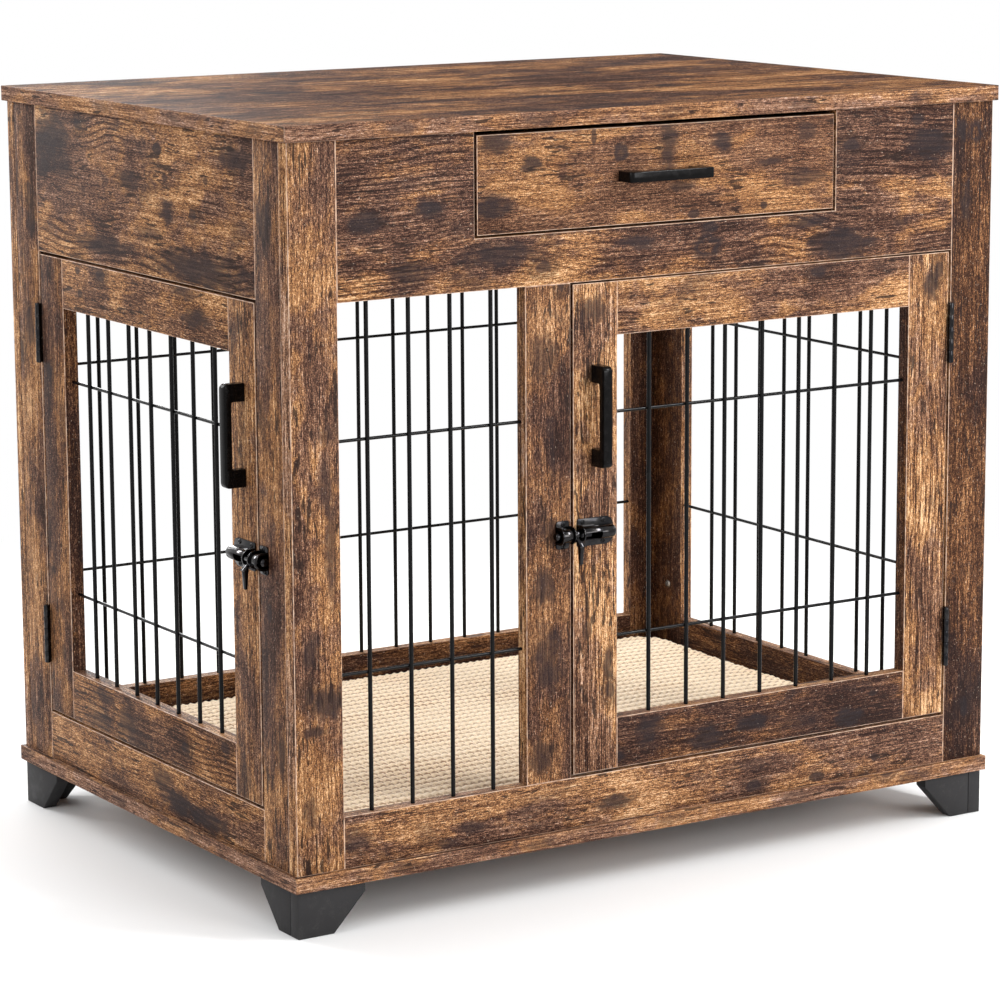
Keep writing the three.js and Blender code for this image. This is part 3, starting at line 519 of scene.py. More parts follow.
def add_board(node, body, seed, outside, spots=(), in_gap=False, **look):
    """One laminated board: eased edges with the pale line at its outer face, banded round."""
    low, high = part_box(node)
    size = high - low
    order = sorted(range(3), key=lambda axis: -size[axis])
    along, across = AXES[order[0]], AXES[order[1]]
    piece = copy_of(node, f"{node}_laminate")
    material = laminate(node, along, across, seed, spots, **look)
    # edges that stand in a gap take the darker print with painted shade
    edging = (gap_edge_shade if in_gap else banding)[order[0]]
    give_materials(piece, [material, pale_line_and_highlight, edging, inner_print[order[0]]])
    face = max(high.dot(outside), low.dot(outside))

    def at_face(edge):
        return all(abs(vert.co.dot(outside) - face) < 0.01 * MM for vert in edge.verts)

    def is_rim(edge):
        return is_sharp(edge) and edge.calc_length() > WIRE_HOLE

    for number, faces in ((2, lambda face: abs(face.normal.dot(outside)) < 0.5),
                          (3, lambda face: face.normal.dot(outside) < -0.5)):
        pick("faces", faces)
        bpy.context.object.active_material_index = number
        bpy.ops.object.material_slot_assign()
    bevel_edges(lambda edge: is_rim(edge) and at_face(edge), BOARD_EDGE, material=1)
    bevel_edges(lambda edge: is_rim(edge) and not at_face(edge), BACK_EDGE, 1)
    bpy.ops.object.mode_set(mode="OBJECT")
    smooth(piece, 30)
    return finish_piece(piece, body, "rustic_board", [], [node])


BOARDS = {  # node: how its stretch of the print looks
    "front_left_stile": dict(Tone=0.02, Warmth=0.6, Cracks=1.5),
    "front_centre_stile": dict(Tone=-0.13, Warmth=0.35),
    "front_right_stile": dict(Tone=-0.3, Warmth=0.45, Patches=0.7),
    "front_apron": dict(Tone=-0.02, Rings=1.1),
    "front_bottom_rail": dict(Tone=0.0, Warmth=0.4, Patches=0.8),
    "left_front_stile": dict(Tone=-0.06, Cracks=1.3),
    "left_rear_stile": dict(Tone=-0.04, Streaks=1.4),
    "left_apron": dict(Tone=0.01, Rings=1.3),
    "left_bottom_rail": dict(Tone=-0.02, Warmth=0.65, Rings=1.3),
    "right_front_stile": {},
    "right_rear_stile": dict(Tone=-0.06),
    "right_apron": {},
    "right_bottom_rail": dict(Tone=-0.04),
    "back_left_stile": {},
    "back_right_stile": dict(Tone=-0.06),
    "back_apron": dict(Rings=0.8),
    "back_bottom_rail": dict(Tone=-0.04, Rings=1.2),
}
# node: its larger smudges in mm, each how far along, height, half length, half height, depth,
# and for some how pale its heart is
SMUDGES = {
    "left_apron": [
        (199, 704, 34, 26, 1.0), (219, 680, 14, 16, 0.9), (90, 608, 68, 9, 0.7), (-118, 604, 96, 17, 0.9),
        (-32, 711, 10, 6, 1.0), (-47, 685, 6, 4, 0.8), (-129, 688, 5, 4, 0.7), (-49, 653, 15, 10, 0.9),
        (30, 675, 20, 11, 0.8), (-185, 712, 30, 13, 0.7), (170, 678, 18, 12, 0.6), (-10, 628, 26, 8, 0.6),
    ],
    "left_front_stile": [(-240, 655, 13, 26, 0.9), (-256, 174, 8, 20, 0.9), (-238, 301, 5, 9, 0.6)],
    "left_rear_stile": [(249, 623, 10, 24, 0.9), (259, 507, 10, 26, 0.8)],
    "left_bottom_rail": [(-14, 92, 22, 12, 0.8), (-45, 78, 28, 13, 1.0), (-102, 74, 40, 9, 1.0)],
    "front_left_stile": [
        (-355, 365, 6, 44, 0.7), (-377, 269, 9, 17, 0.7), (-361, 220, 17, 16, 0.9), (-374, 195, 12, 5, 0.8),
        (-360, 420, 7, 24, 0.6), (-356, 470, 12, 9, 0.5), (-380, 120, 9, 18, 0.6),
    ],
    "front_apron": [
        (-315, 658, 22, 10, 1.0), (-249, 667, 18, 8, 1.0), (-268, 611, 20, 11, 0.8),
        (-167, 619, 46, 12, 0.8), (-16, 621, 22, 7, 0.9), (65, 612, 15, 12, 1.0, 0.8),
        (68, 630, 10, 6, 0.7), (183, 627, 22, 7, 0.9), (227, 605, 34, 15, 1.0),
        (334, 697, 28, 18, 0.9), (317, 720, 9, 6, 0.8), (301, 620, 11, 6, 0.6),
    ],
    "front_bottom_rail": [
        (-42, 80, 21, 7, 1.0), (-332, 86, 14, 13, 0.6), (-203, 79, 18, 6, 0.6), (-232, 68, 17, 6, 0.7),
        (201, 68, 10, 5, 0.9), (274, 78, 5, 4, 0.8), (120, 92, 26, 6, 0.4),
    ],
    "front_centre_stile": [
        (-124, 300, 14, 18, 0.8), (-120, 232, 17, 32, 0.7), (-127, 137, 15, 16, 0.7),
        (-116, 354, 11, 12, 0.7), (-124, 520, 16, 22, 0.6),
    ],
    "front_right_stile": [(390, 705, 10, 12, 1.0, 0.7), (373, 708, 6, 14, 0.8), (380, 635, 7, 20, 0.8)],
}


def smudges_on(smudges, outside, face):
    """Middle, reach, depth and pale heart of each smudge, from its place on a board's face."""
    for along, height, half_length, half_height, depth, *heart in smudges:
        if outside.y:
            middle, reach = (along * MM, face, height * MM), (half_length * MM, 1, half_height * MM)
        else:
            middle, reach = (face, along * MM, height * MM), (1, half_length * MM, half_height * MM)
        yield middle, reach, depth, *(heart or [0.0])


def board_smudges(node, outside):
    low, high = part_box(node)
    face = low if outside.x + outside.y < 0 else high
    return list(smudges_on(SMUDGES.get(node, ()), outside, face.y if outside.y else face.x))


for seed, (node, look) in enumerate(BOARDS.items(), 1):
    outside = OUTSIDE[node.split("_")[0]]
    add_board(node, "cabinet", seed, outside, board_smudges(node, outside), **look)

# ------------------------------------------------------------------ top and base boards
# Two larger boards of the same laminate, screwed to the frames from inside. Their edges have
# a banding in a lighter, redder wood print, with its own grain along each edge.

SLAB_EDGE = dict(Tone=0.08, Warmth=0.35, Patches=0.3, Streaks=1.2, Speckle=0.8, Smudging=0.0)
EDGE_KNOT_PITCH = 150 * MM
EDGE_KNOT = (17 * MM, 5 * MM)  # half length, half height
SLABS = {  # node: look of its face, shine
    "top_board": (dict(Tone=-0.12, Warmth=0.5, Streaks=1.7, Speckle=0.8, Smudging=1.0), 0.01),
    "base_board": ({}, 0.1),
}


def edge_knots(low, high, axis, shift):
    """Small knots at a steady pitch in the banding of one pair of edges."""
    count = int((high[axis] - low[axis]) / EDGE_KNOT_PITCH)
    for number in range(count):
        middle = (low + high) / 2
        middle[axis] = low[axis] + shift + number * EDGE_KNOT_PITCH
        reach = Vector((1, 1, EDGE_KNOT[1]))
        reach[axis] = EDGE_KNOT[0]
        yield middle, reach, 0.6, 0.5


def is_upright(edge):
    return abs(edge.verts[0].co.z - edge.verts[1].co.z) > 5 * MM


for seed, (node, (look, shine)) in enumerate(SLABS.items(), 31):
    piece = copy_of(node, f"{node}_laminate")
    low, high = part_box(node)
    prints = [laminate(node, AXES[0], AXES[1], seed, shine=shine, **look)]
    for axis, shift in ((0, 120 * MM), (1, 60 * MM)):
        knots = list(edge_knots(low, high, axis, shift))
        name = f"{node} banding, {'front and back' if axis == 0 else 'sides'}"
        prints.append(laminate(name, AXES[axis], AXES[2], seed + 10, knots, **SLAB_EDGE))
    give_materials(piece, [*prints, pale_line_and_highlight])
    for number, axis in ((1, 1), (2, 0)):
        pick("faces", lambda face: abs(face.normal[axis]) > 0.9)
        piece.active_material_index = number
        bpy.ops.object.material_slot_assign()
    bevel_edges(lambda edge: is_sharp(edge) and is_upright(edge), BOARD_EDGE, material=3)
    bevel_edges(is_sharp, BOARD_EDGE, material=1)
    bpy.ops.object.mode_set(mode="OBJECT")
    smooth(piece, 30)
    finish_piece(piece, "cabinet", "rustic_board", [], [node])

# ------------------------------------------------------------------ wire panels
# Round steel wires, welded where they cross and coated in glossy black. The upright wires
# stand in blind holes in the rails; the cross wires lie behind them and bend out to the
# middle of the stiles at their ends.

WIRE_PITCH = 44.5 * MM
UPRIGHT_RADIUS = 2.1 * MM
CROSS_RADIUS = 1.6 * MM
WIRE_ENTRY = 8 * MM  # into the boards
CROSS_HEIGHTS = (242 * MM, 460 * MM)
WIRE_SIDES = 16
END_BEND = 2.6 * MM
WIRE_BLACK = (13, 13, 14)
WIRE_DUST = (19, 18, 18)

tones, gloss = (WIRE_BLACK, WIRE_DUST), (0.3, 0.8, 0.16, 0.3)
wire_coat, *_ = two_tone(
    "black wire coating", tones, (60, 3, 0.6), (0.4, 0.8), gloss, Specular_IOR_Level=0.12
)


def wire(radius, length, axis):
    """A straight wire through the origin, standing (Z) or lying along X."""
    deselect()
    turn = (0, radians(90), 0) if axis == "X" else (0, 0, 0)
    bpy.ops.mesh.primitive_cylinder_add(
        vertices=WIRE_SIDES, radius=radius, depth=length, rotation=turn
    )
    bpy.ops.object.transform_apply(rotation=True)
    piece = bpy.context.object
    smooth(piece, 60)
    return piece


def placed_copy(piece, offset=(0, 0, 0), name="copy"):
    copy = new_object(name, piece.data.copy())
    copy.data.transform(Matrix.Translation(offset))
    return copy


def add_wire_panel(node, body, outside):
    """A panel drawn facing -Y about its own middle, then turned to face outside."""
    low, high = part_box(node)
    middle, size = (low + high) / 2, high - low
    width = size.x if outside.y else size.y
    depth = size.y if outside.y else size.x
    opening = width - 2 * WIRE_ENTRY
    count = round(opening / WIRE_PITCH) - 1
    upright = wire(UPRIGHT_RADIUS, size.z, "Z")
    cross = wire(CROSS_RADIUS, width, "X")
    last = (count - 1) / 2 * WIRE_PITCH + UPRIGHT_RADIUS * 2
    edit(cross)
    for share in (0.0, 0.35, 0.65, 1.0):
        for side in (-1, 1):
            at = side * (last + share * (opening / 2 - last) * 0.8)
            bpy.ops.mesh.select_all(action="SELECT")
            bpy.ops.mesh.bisect(plane_co=(at, 0, 0), plane_no=(1, 0, 0))
    for share in (0.2, 0.6, 1.0):
        reach = last + (share - 0.1) * (opening / 2 - last) * 0.8
        pick("verts", lambda vert: abs(vert.co.x) > reach)
        bpy.ops.transform.translate(value=(0, -END_BEND / 3, 0))
    parts = []
    for i in range(count):
        across = (i - (count - 1) / 2) * WIRE_PITCH
        parts.append(placed_copy(upright, (across, -depth / 2 + UPRIGHT_RADIUS, 0)))
    for height in CROSS_HEIGHTS:
        parts.append(placed_copy(cross, (0, depth / 2 - CROSS_RADIUS, height - middle.z)))
    bpy.ops.object.mode_set(mode="OBJECT")
    bpy.data.objects.remove(upright)
    bpy.data.objects.remove(cross)
    panel = join(f"{node}_wires", parts)
    turn = {(0, -1): 0, (1, 0): 90, (0, 1): 180, (-1, 0): 270}[(outside.x, outside.y)]
    panel.data.transform(Matrix.Translation(middle) @ Matrix.Rotation(radians(turn), 4, "Z"))
    return finish_piece(panel, body, "black_wire", [wire_coat], [node])


for side in ("front", "right", "back"):
    add_wire_panel(f"{side}_wire_grid", "cabinet", OUTSIDE[side])

# ------------------------------------------------------------------ doors
# Two doors, each of four laminated boards round a wire panel. The front one hangs in the
# front frame, the side one in the left frame; both open outwards.

DOOR_BOARDS = {
    "front_door_free_stile": dict(Tone=0.1, Warmth=0.8, Streaks=1.8, Cracks=1.3, Smudging=0.4),
    "front_door_hinge_stile": dict(Tone=0.04, Warmth=0.8, Streaks=1.8, Rings=1.0),
    "front_door_top_rail": dict(Tone=0.05, Warmth=0.55, Smudging=0.4),
    "front_door_bottom_rail": dict(Tone=-0.19, Warmth=0.35, Patches=0.8),
    "side_door_free_stile": dict(Tone=-0.06, Warmth=0.6, Streaks=1.4),
    "side_door_hinge_stile": dict(Tone=-0.09, Warmth=0.55),
    "side_door_top_rail": dict(Tone=0.03, Warmth=0.85, Smudging=0.3),
    "side_door_bottom_rail": dict(Tone=-0.02, Warmth=0.8, Rings=1.3, Smudging=0.4),
}
SMUDGES.update({
    "front_door_bottom_rail": [
        (67, 127, 20, 12, 1.0), (124, 136, 20, 8, 0.9), (241, 124, 18, 10, 1.0), (-4, 144, 13, 17, 0.8),
        (-3, 146, 18, 7, 0.6), (270, 145, 6, 3, 0.8), (180, 128, 26, 8, 0.5),
    ],
    "front_door_hinge_stile": [(337, 556, 10, 14, 1.0)],
    "front_door_free_stile": [(-51, 217, 5, 18, 0.9), (-75, 253, 5, 10, 0.6), (-68, 560, 18, 12, 0.8)],
    "side_door_top_rail": [
        (146, 577, 6, 4, 0.9), (142, 555, 6, 4, 0.9), (-101, 557, 26, 9, 0.9), (-84, 579, 26, 7, 0.6),
    ],
    "side_door_bottom_rail": [(58, 133, 24, 18, 0.7), (109, 152, 26, 6, 0.6), (123, 124, 22, 9, 0.6)],
    "side_door_free_stile": [(-186, 133, 13, 20, 0.6), (-190, 560, 10, 14, 0.5)],
    "side_door_hinge_stile": [(200, 179, 6, 8, 0.6), (190, 420, 8, 30, 0.4)],
})
OVER_DOOR = 1.3 * MM  # the front door's top stands this much nearer to the apron
for seed, (node, look) in enumerate(DOOR_BOARDS.items(), 51):
    side = node.split("_")[0]
    smudges = board_smudges(node, OUTSIDE[side])
    in_gap = node.endswith("stile")
    board = add_board(node, f"{side}_door", seed, OUTSIDE[side], smudges, in_gap, **look)
    if side == "front" and not node.endswith("bottom_rail"):
        door_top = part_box("front_door_top_rail")[1].z
        edit(board)
        pick("verts", lambda vert: vert.co.z > door_top - 2 * MM)
        bpy.ops.transform.translate(value=(0, 0, OVER_DOOR))
        deselect()
for side in ("front", "side"):
    add_wire_panel(f"{side}_door_wire_grid", f"{side}_door", OUTSIDE[side])

# ------------------------------------------------------------------ bow handles
# Cast zinc bow handles in satin black, screwed on from behind: two feet and a flat grip.

HANDLE_BAR = 8 * MM  # thickness of the grip
HANDLE_FOOT = 17 * MM  # length of each foot
HANDLE_CORNER = 5 * MM
HANDLE_FILLET = 2 * MM
HANDLE_EDGE = 0.9 * MM
HANDLE_BLACK = (7, 6, 6)
HANDLE_WORN = (16, 14, 14)

tones, gloss = (HANDLE_BLACK, HANDLE_WORN), (0.3, 0.8, 0.16, 0.28)
handle_coat, tree, shader, place = two_tone(
    "satin black handle", tones, (160, 3, 0.6), (0.4, 0.8), gloss, Specular_IOR_Level=0.1
)
grit = noise(tree, place, (1400, 1400, 1400), 2, 0.6)
grain_bump(tree, shader, grit, 0.08, 0.1 * MM)

low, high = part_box("front_door_handle")
handle_length, handle_reach, handle_width = high.z - low.z, high.y - low.y, high.x - low.x
half, inner = handle_length / 2, handle_length / 2 - HANDLE_FOOT
under = -(handle_reach - HANDLE_BAR)
handle = block("handle", (-handle_width / 2, -handle_reach, -half), (handle_width / 2, under, half))
for level in (-inner, inner):
    bpy.ops.mesh.select_all(action="SELECT")
    bpy.ops.mesh.bisect(plane_co=(0, 0, level), plane_no=(0, 0, 1))
pick("faces", lambda face: face.normal.y > 0.9 and abs(face.calc_center_median().z) > inner)
bpy.ops.mesh.extrude_region_move(TRANSFORM_OT_translate={"value": (0, -under, 0)})


def lies_across(edge):
    return abs(edge.verts[0].co.x - edge.verts[1].co.x) > 5 * MM


bevel_edges(
    lambda edge: lies_across(edge)
    and middle_of(edge).y < -handle_reach + 0.1 * MM
    and abs(middle_of(edge).z) > half - 0.1 * MM,
    HANDLE_CORNER,
    6,
)
bevel_edges(
    lambda edge: lies_across(edge)
    and abs(middle_of(edge).y - under) < 0.1 * MM
    and abs(abs(middle_of(edge).z) - inner) < 0.1 * MM,
    HANDLE_FILLET,
    4,
)
bevel_edges(lambda edge: is_sharp(edge, 50), HANDLE_EDGE)
bpy.ops.object.mode_set(mode="OBJECT")
smooth(handle)

ACROSS_CORNER = Matrix(((0, 1, 0, 0), (1, 0, 0, 0), (0, 0, 1, 0), (0, 0, 0, 1)))


def put_in_place(piece, place):
    """Moves a mesh by a matrix, and turns its faces out again where the matrix mirrors it."""
    piece.data.transform(place)
    if place.determinant() < 0:
        piece.data.flip_normals()
    return piece


for node, body, place in (
    ("front_door_handle", "front_door", Matrix.Identity(4)),
    ("side_door_handle", "side_door", Matrix.Rotation(radians(-90), 4, "Z")),
    ("drawer_handle", "drawer", Matrix.Rotation(radians(90), 4, "Y")),
):
    low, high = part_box(node)
    mount = (low + high) / 2
    if node == "side_door_handle":
        mount.x = high.x
    else:
        mount.y = high.y
    copy = placed_copy(handle, name=f"{node}_casting")
    put_in_place(copy, Matrix.Translation(mount) @ place)
    finish_piece(copy, body, "black_handle", [handle_coat], [node])
bpy.data.objects.remove(handle)

# ------------------------------------------------------------------ hinges
# Butt hinges of pressed steel, blackened. One leaf is screwed to the door's edge and one to
# the frame, in the gap between them, so that only their knuckles show.

HINGE_SHEET = 1.2 * MM
HINGE_LEAF_DEPTH = 13.5 * MM
KNUCKLE_RADIUS = 3 * MM
KNUCKLES = 5
KNUCKLE_GAP = 0.3 * MM
KNUCKLE_OUT = 3.2 * MM  # pin in front of the door's face
PIN_RADIUS = 1.4 * MM
PIN_HEAD = 0.6 * MM
PIN_HEAD_RADIUS = 2.1 * MM
DOOR_GAP = 3 * MM
FIT = 0.3 * MM
STEEL = (40, 40, 42)
STEEL_STAIN = (56, 54, 53)

tones, gloss = (STEEL, STEEL_STAIN), (0.3, 0.75, 0.08, 0.14)
bolt_steel, tree, shader, place = two_tone(
    "blackened steel", tones, (120, 3, 0.5), (0.35, 0.75), gloss, Metallic=1.0
)
brush = noise(tree, place, (500, 500, 500), 3, 0.6)
grain_bump(tree, shader, brush, 0.1, 0.05 * MM)


def round_bar(radius, start, end, sides=24, axis="Z", centre=(0, 0, 0)):
    """A round bar along X or Z from start to end, left open in edit mode."""
    deselect()
    turn = (0, radians(90), 0) if axis == "X" else (0, 0, 0)
    middle = Vector(centre)
    middle["XYZ".index(axis)] = (start + end) / 2
    bpy.ops.mesh.primitive_cylinder_add(
        vertices=sides, radius=radius, depth=end - start, location=middle, rotation=turn
    )
    bpy.ops.object.transform_apply(location=True, rotation=True, scale=True)
    piece = bpy.context.object
    edit(piece)
    return piece


def door_place(side):
    """From a door's own frame, x from its free edge, y = 0 at its face, into the table's."""
    low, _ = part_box(f"{side}_door_free_stile")
    if side == "front":
        return Matrix.Translation((low.x, low.y, 0))
    return Matrix.Translation((low.x, low.y, 0)) @ ACROSS_CORNER


def add_hinge_leaf(side, level, on_door):
    which = "door" if on_door else "frame"
    node = f"{side}_{level}_hinge_{which}_leaf"
    stile_low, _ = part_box(f"{side}_door_free_stile")
    _, stile_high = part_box(f"{side}_door_hinge_stile")
    width = stile_high.x - stile_low.x if side == "front" else stile_high.y - stile_low.y
    near = width if on_door else width + DOOR_GAP - HINGE_SHEET
    hinge_low, hinge_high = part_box(f"{side}_{level}_hinge_frame_leaf")
    bottom, top = hinge_low.z, hinge_high.z
    knuckle = (top - bottom - (KNUCKLES - 1) * KNUCKLE_GAP) / KNUCKLES
    pin = (width + DOOR_GAP / 2, -KNUCKLE_OUT, 0)
    far = near + HINGE_SHEET
    parts = [block("leaf", (near, FIT, bottom), (far, FIT + HINGE_LEAF_DEPTH, top))]
    bevel_edges(is_sharp, 0.2 * MM, 1)
    for i in range(KNUCKLES):
        if (i % 2 == 1) != on_door:
            continue
        start = bottom + i * (knuckle + KNUCKLE_GAP)
        parts.append(round_bar(KNUCKLE_RADIUS, start, start + knuckle, centre=pin))
        bevel_edges(lambda edge: is_sharp(edge, 60), 0.35 * MM)
        web_front = -KNUCKLE_OUT + PIN_RADIUS
        parts.append(block("web", (near, web_front, start), (far, FIT + MM, start + knuckle)))
    if not on_door:
        parts.append(round_bar(PIN_HEAD_RADIUS, bottom - PIN_HEAD, top + PIN_HEAD, 16, centre=pin))
        bevel_edges(lambda edge: is_sharp(edge, 60), 0.5 * MM)
    deselect()
    leaf = join(f"{node}_pressed", parts)
    smooth(leaf)
    put_in_place(leaf, door_place(side))
    finish_piece(leaf, f"{side}_door" if on_door else "cabinet", "gunmetal", [bolt_steel], [node])


for side in ("front", "side"):
    for level in ("lower", "upper"):
        add_hinge_leaf(side, level, True)
        add_hinge_leaf(side, level, False)

# ------------------------------------------------------------------ barrel bolts
# A barrel bolt on each door: a pressed housing with four screws on the door, a keeper with
# two screws on the frame, and a round rod that slides through both, moved by its lever.

BOLT_PLATE = 1.5 * MM
BOLT_PLATE_HALF = 13.5 * MM
BARREL_RADIUS = 6.6 * MM
BOLT_OUT = 6.5 * MM  # the rod's axis in front of the face
BOLT_AXIS = (0, -BOLT_OUT, 0)
ROD_RADIUS = 4 * MM
ROD_BORE = 4.4 * MM
COLLAR = 1.4 * MM
COLLAR_RISE = 1.9 * MM
HOUSING = (3.5 * MM, 44.5 * MM)
HOUSING_BARREL_END = 38 * MM
HOUSING_CORNER = 9 * MM
HOUSING_NEAR_CORNER = 1.5 * MM
DOME = 5 * MM
KEEPER = (-20.5 * MM, -5.5 * MM)
KEEPER_CORNER = 3 * MM
LEVER = (-4 * MM, 2 * MM)
LEVER_SLOT_HALF = 2.1 * MM
LEVER_SLOT_END = 25 * MM
LEVER_SLOT_REACH = 16 * MM
LEVER_SLOT_TURNS = (-45, -35, -25, -15, -5)  # degrees that the slot takes in, cut by cut
TAB = (-28 * MM, -8 * MM)  # foot and top of the lever's tab, below the rod's axis
TAB_INSET = 0.8 * MM
ROD_TIP = -25.5 * MM
ROD_TAIL = 14 * MM
SCREW_RADIUS = 2.4 * MM


def bolt_plate(start, end, near_corner, far_corner):
    """The plate that is screwed to the face, its far corners rounded."""
    plate = block("plate", (start, -BOLT_PLATE, -BOLT_PLATE_HALF), (end, 0, BOLT_PLATE_HALF))
    for x, corner in ((start, near_corner), (end, far_corner)):
        bevel_edges(
            lambda edge: abs(edge.verts[0].co.y - edge.verts[1].co.y) > MM
            and abs(middle_of(edge).x - x) < 0.1 * MM,
            corner,
            8,
        )
    bevel_edges(lambda edge: is_sharp(edge, 60) and middle_of(edge).y < -MM, 0.35 * MM)
    return plate


def bolt_barrel(start, end, radius):
    """The pressed half-round over the rod, with straight flanks down to the plate."""
    barrel = round_bar(radius, start, end, 40, "X", BOLT_AXIS)
    cut_off(BOLT_AXIS, (0, 1, 0))
    pick("faces", lambda face: face.normal.y > 0.9)
    bpy.ops.mesh.extrude_region_move(TRANSFORM_OT_translate={"value": (0, BOLT_OUT - 0.1 * MM, 0)})
    return barrel


def cut_by(piece, cutter):
    modifier = piece.modifiers.new("cut", "BOOLEAN")
    modifier.operation = "DIFFERENCE"
    modifier.object = cutter
    modifier.solver = "EXACT"
    apply_modifiers(piece)
    bpy.data.objects.remove(cutter)


def cross_screw(radius):
    """A pan-head screw facing -Y, with its cross recess, at the origin."""
    deselect()
    bpy.ops.mesh.primitive_cylinder_add(
        vertices=20, radius=radius, depth=radius * 0.7, rotation=(radians(90), 0, 0)
    )
    bpy.ops.object.transform_apply(rotation=True)
    screw = bpy.context.object
    edit(screw)
    bevel_edges(lambda edge: is_sharp(edge, 60) and middle_of(edge).y < 0, radius * 0.35, 3)
    for long, short in ((0.6, 0.16), (0.16, 0.6)):
        slot = block(
            "slot",
            (-radius * long, -radius * 0.5, -radius * short),
            (radius * long, -radius * 0.12, radius * short),
        )
        cut_by(screw, slot)
    smooth(screw)
    return screw


def make_housing():
    """The pressed housing, its barrel slotted for the lever's slide and turn, and domed."""
    plate = bolt_plate(*HOUSING, HOUSING_NEAR_CORNER, HOUSING_CORNER)
    barrel = bolt_barrel(HOUSING[0], HOUSING_BARREL_END, BARREL_RADIUS)
    cut_by(barrel, round_bar(ROD_BORE, HOUSING[0] - MM, HOUSING_BARREL_END - MM, 32, "X", BOLT_AXIS))
    slot_low = (HOUSING[0] - MM, 0, -LEVER_SLOT_HALF)
    slot = block("slot", slot_low, (LEVER_SLOT_END, LEVER_SLOT_REACH, LEVER_SLOT_HALF))
    deselect()
    for degrees in LEVER_SLOT_TURNS:
        cutter = placed_copy(slot)
        turn = Matrix.Rotation(radians(180 - degrees), 4, "X")
        cutter.data.transform(Matrix.Translation(BOLT_AXIS) @ turn)
        cut_by(barrel, cutter)
    bpy.data.objects.remove(slot)
    deselect()
    bpy.ops.mesh.primitive_uv_sphere_add(
        segments=40, ring_count=20, radius=BARREL_RADIUS, rotation=(0, radians(90), 0)
    )
    bpy.ops.object.transform_apply(rotation=True)
    dome = bpy.context.object
    dome.scale = (DOME / BARREL_RADIUS, 1, 1)
    dome.location = (HOUSING_BARREL_END - 0.05 * MM, -BOLT_OUT, 0)
    bpy.ops.object.transform_apply(location=True, scale=True)
    edit(dome)
    cut_off((HOUSING_BARREL_END - 0.5 * MM, 0, 0), (-1, 0, 0))
    cut_off((0, -0.1 * MM, 0), (0, 1, 0))
    collar = bolt_barrel(HOUSING[0], HOUSING[0] + COLLAR, BARREL_RADIUS + COLLAR_RISE)
    bore_end = HOUSING[0] + 3 * MM
    cut_by(collar, round_bar(BARREL_RADIUS - FIT, HOUSING[0] - MM, bore_end, 32, "X", BOLT_AXIS))
    return join("housing", [plate, barrel, dome, collar])


def make_keeper():
    parts = [bolt_plate(*KEEPER, KEEPER_CORNER, KEEPER_CORNER), bolt_barrel(*KEEPER, BARREL_RADIUS)]
    for start in (KEEPER[0], KEEPER[1] - COLLAR):
        parts.append(bolt_barrel(start, start + COLLAR, BARREL_RADIUS + COLLAR_RISE))
    for part in parts[1:]:
        cut_by(part, round_bar(ROD_BORE, KEEPER[0] - MM, KEEPER[1] + MM, 32, "X", BOLT_AXIS))
    return join("keeper", parts)


def make_rod():
    rod = round_bar(ROD_RADIUS, ROD_TIP, ROD_TAIL, 32, "X", BOLT_AXIS)
    bevel_edges(lambda edge: is_sharp(edge, 60) and middle_of(edge).x < ROD_TIP + MM, 2.4 * MM, 5)
    for x in (LEVER[0] - FIT, LEVER[1] + FIT):
        bpy.ops.mesh.select_all(action="SELECT")
        bpy.ops.mesh.bisect(plane_co=(x, 0, 0), plane_no=(1, 0, 0))
    deselect()
    return join("rod", [rod])


def make_lever():
    """A ring on the rod, a neck out through the slot, and the tab that a finger moves."""
    ring = round_bar(ROD_RADIUS + FIT, *LEVER, 32, "X", BOLT_AXIS)
    bevel_edges(lambda edge: is_sharp(edge, 60), 0.5 * MM)
    neck = block("neck", (LEVER[0], 2 * MM, -1.6 * MM), (LEVER[1], 15 * MM, 1.6 * MM))
    bevel_edges(is_sharp, 0.4 * MM)
    deselect()
    turn = Matrix.Rotation(radians(180 + 45), 4, "X")
    neck.data.transform(Matrix.Translation(BOLT_AXIS) @ turn)
    tab_near, tab_far = -BOLT_OUT - 5 * MM, -BOLT_OUT - 11 * MM
    tab_low = (LEVER[0] + TAB_INSET, tab_far, TAB[0])
    tab = block("tab", tab_low, (LEVER[1] - TAB_INSET, tab_near, TAB[1]))
    pick("faces", lambda face: face.normal.z < -0.9)
    bpy.ops.transform.resize(value=(0.8, 0.45, 1))
    bevel_edges(
        lambda edge: middle_of(edge).z > TAB[1] - 0.1 * MM and middle_of(edge).y < tab_far + 0.1 * MM,
        3.3 * MM,
        5,
    )
    bevel_edges(lambda edge: middle_of(edge).z < TAB[0] + 0.1 * MM, 1.1 * MM, 4)
    bevel_edges(lambda edge: is_sharp(edge, 50), 0.5 * MM)
    deselect()
    return join("lever", [ring, neck, tab])


def edge_rounded(piece, width=0.3 * MM):
    """Eases every sharp rim, so that it catches the light as pressed steel does."""
    modifier = piece.modifiers.new("rims", "BEVEL")
    modifier.width = width
    modifier.segments = 2
    modifier.limit_method = "ANGLE"
    modifier.angle_limit = radians(50)
    apply_modifiers(piece)
    smooth(piece, 40)
    return piece


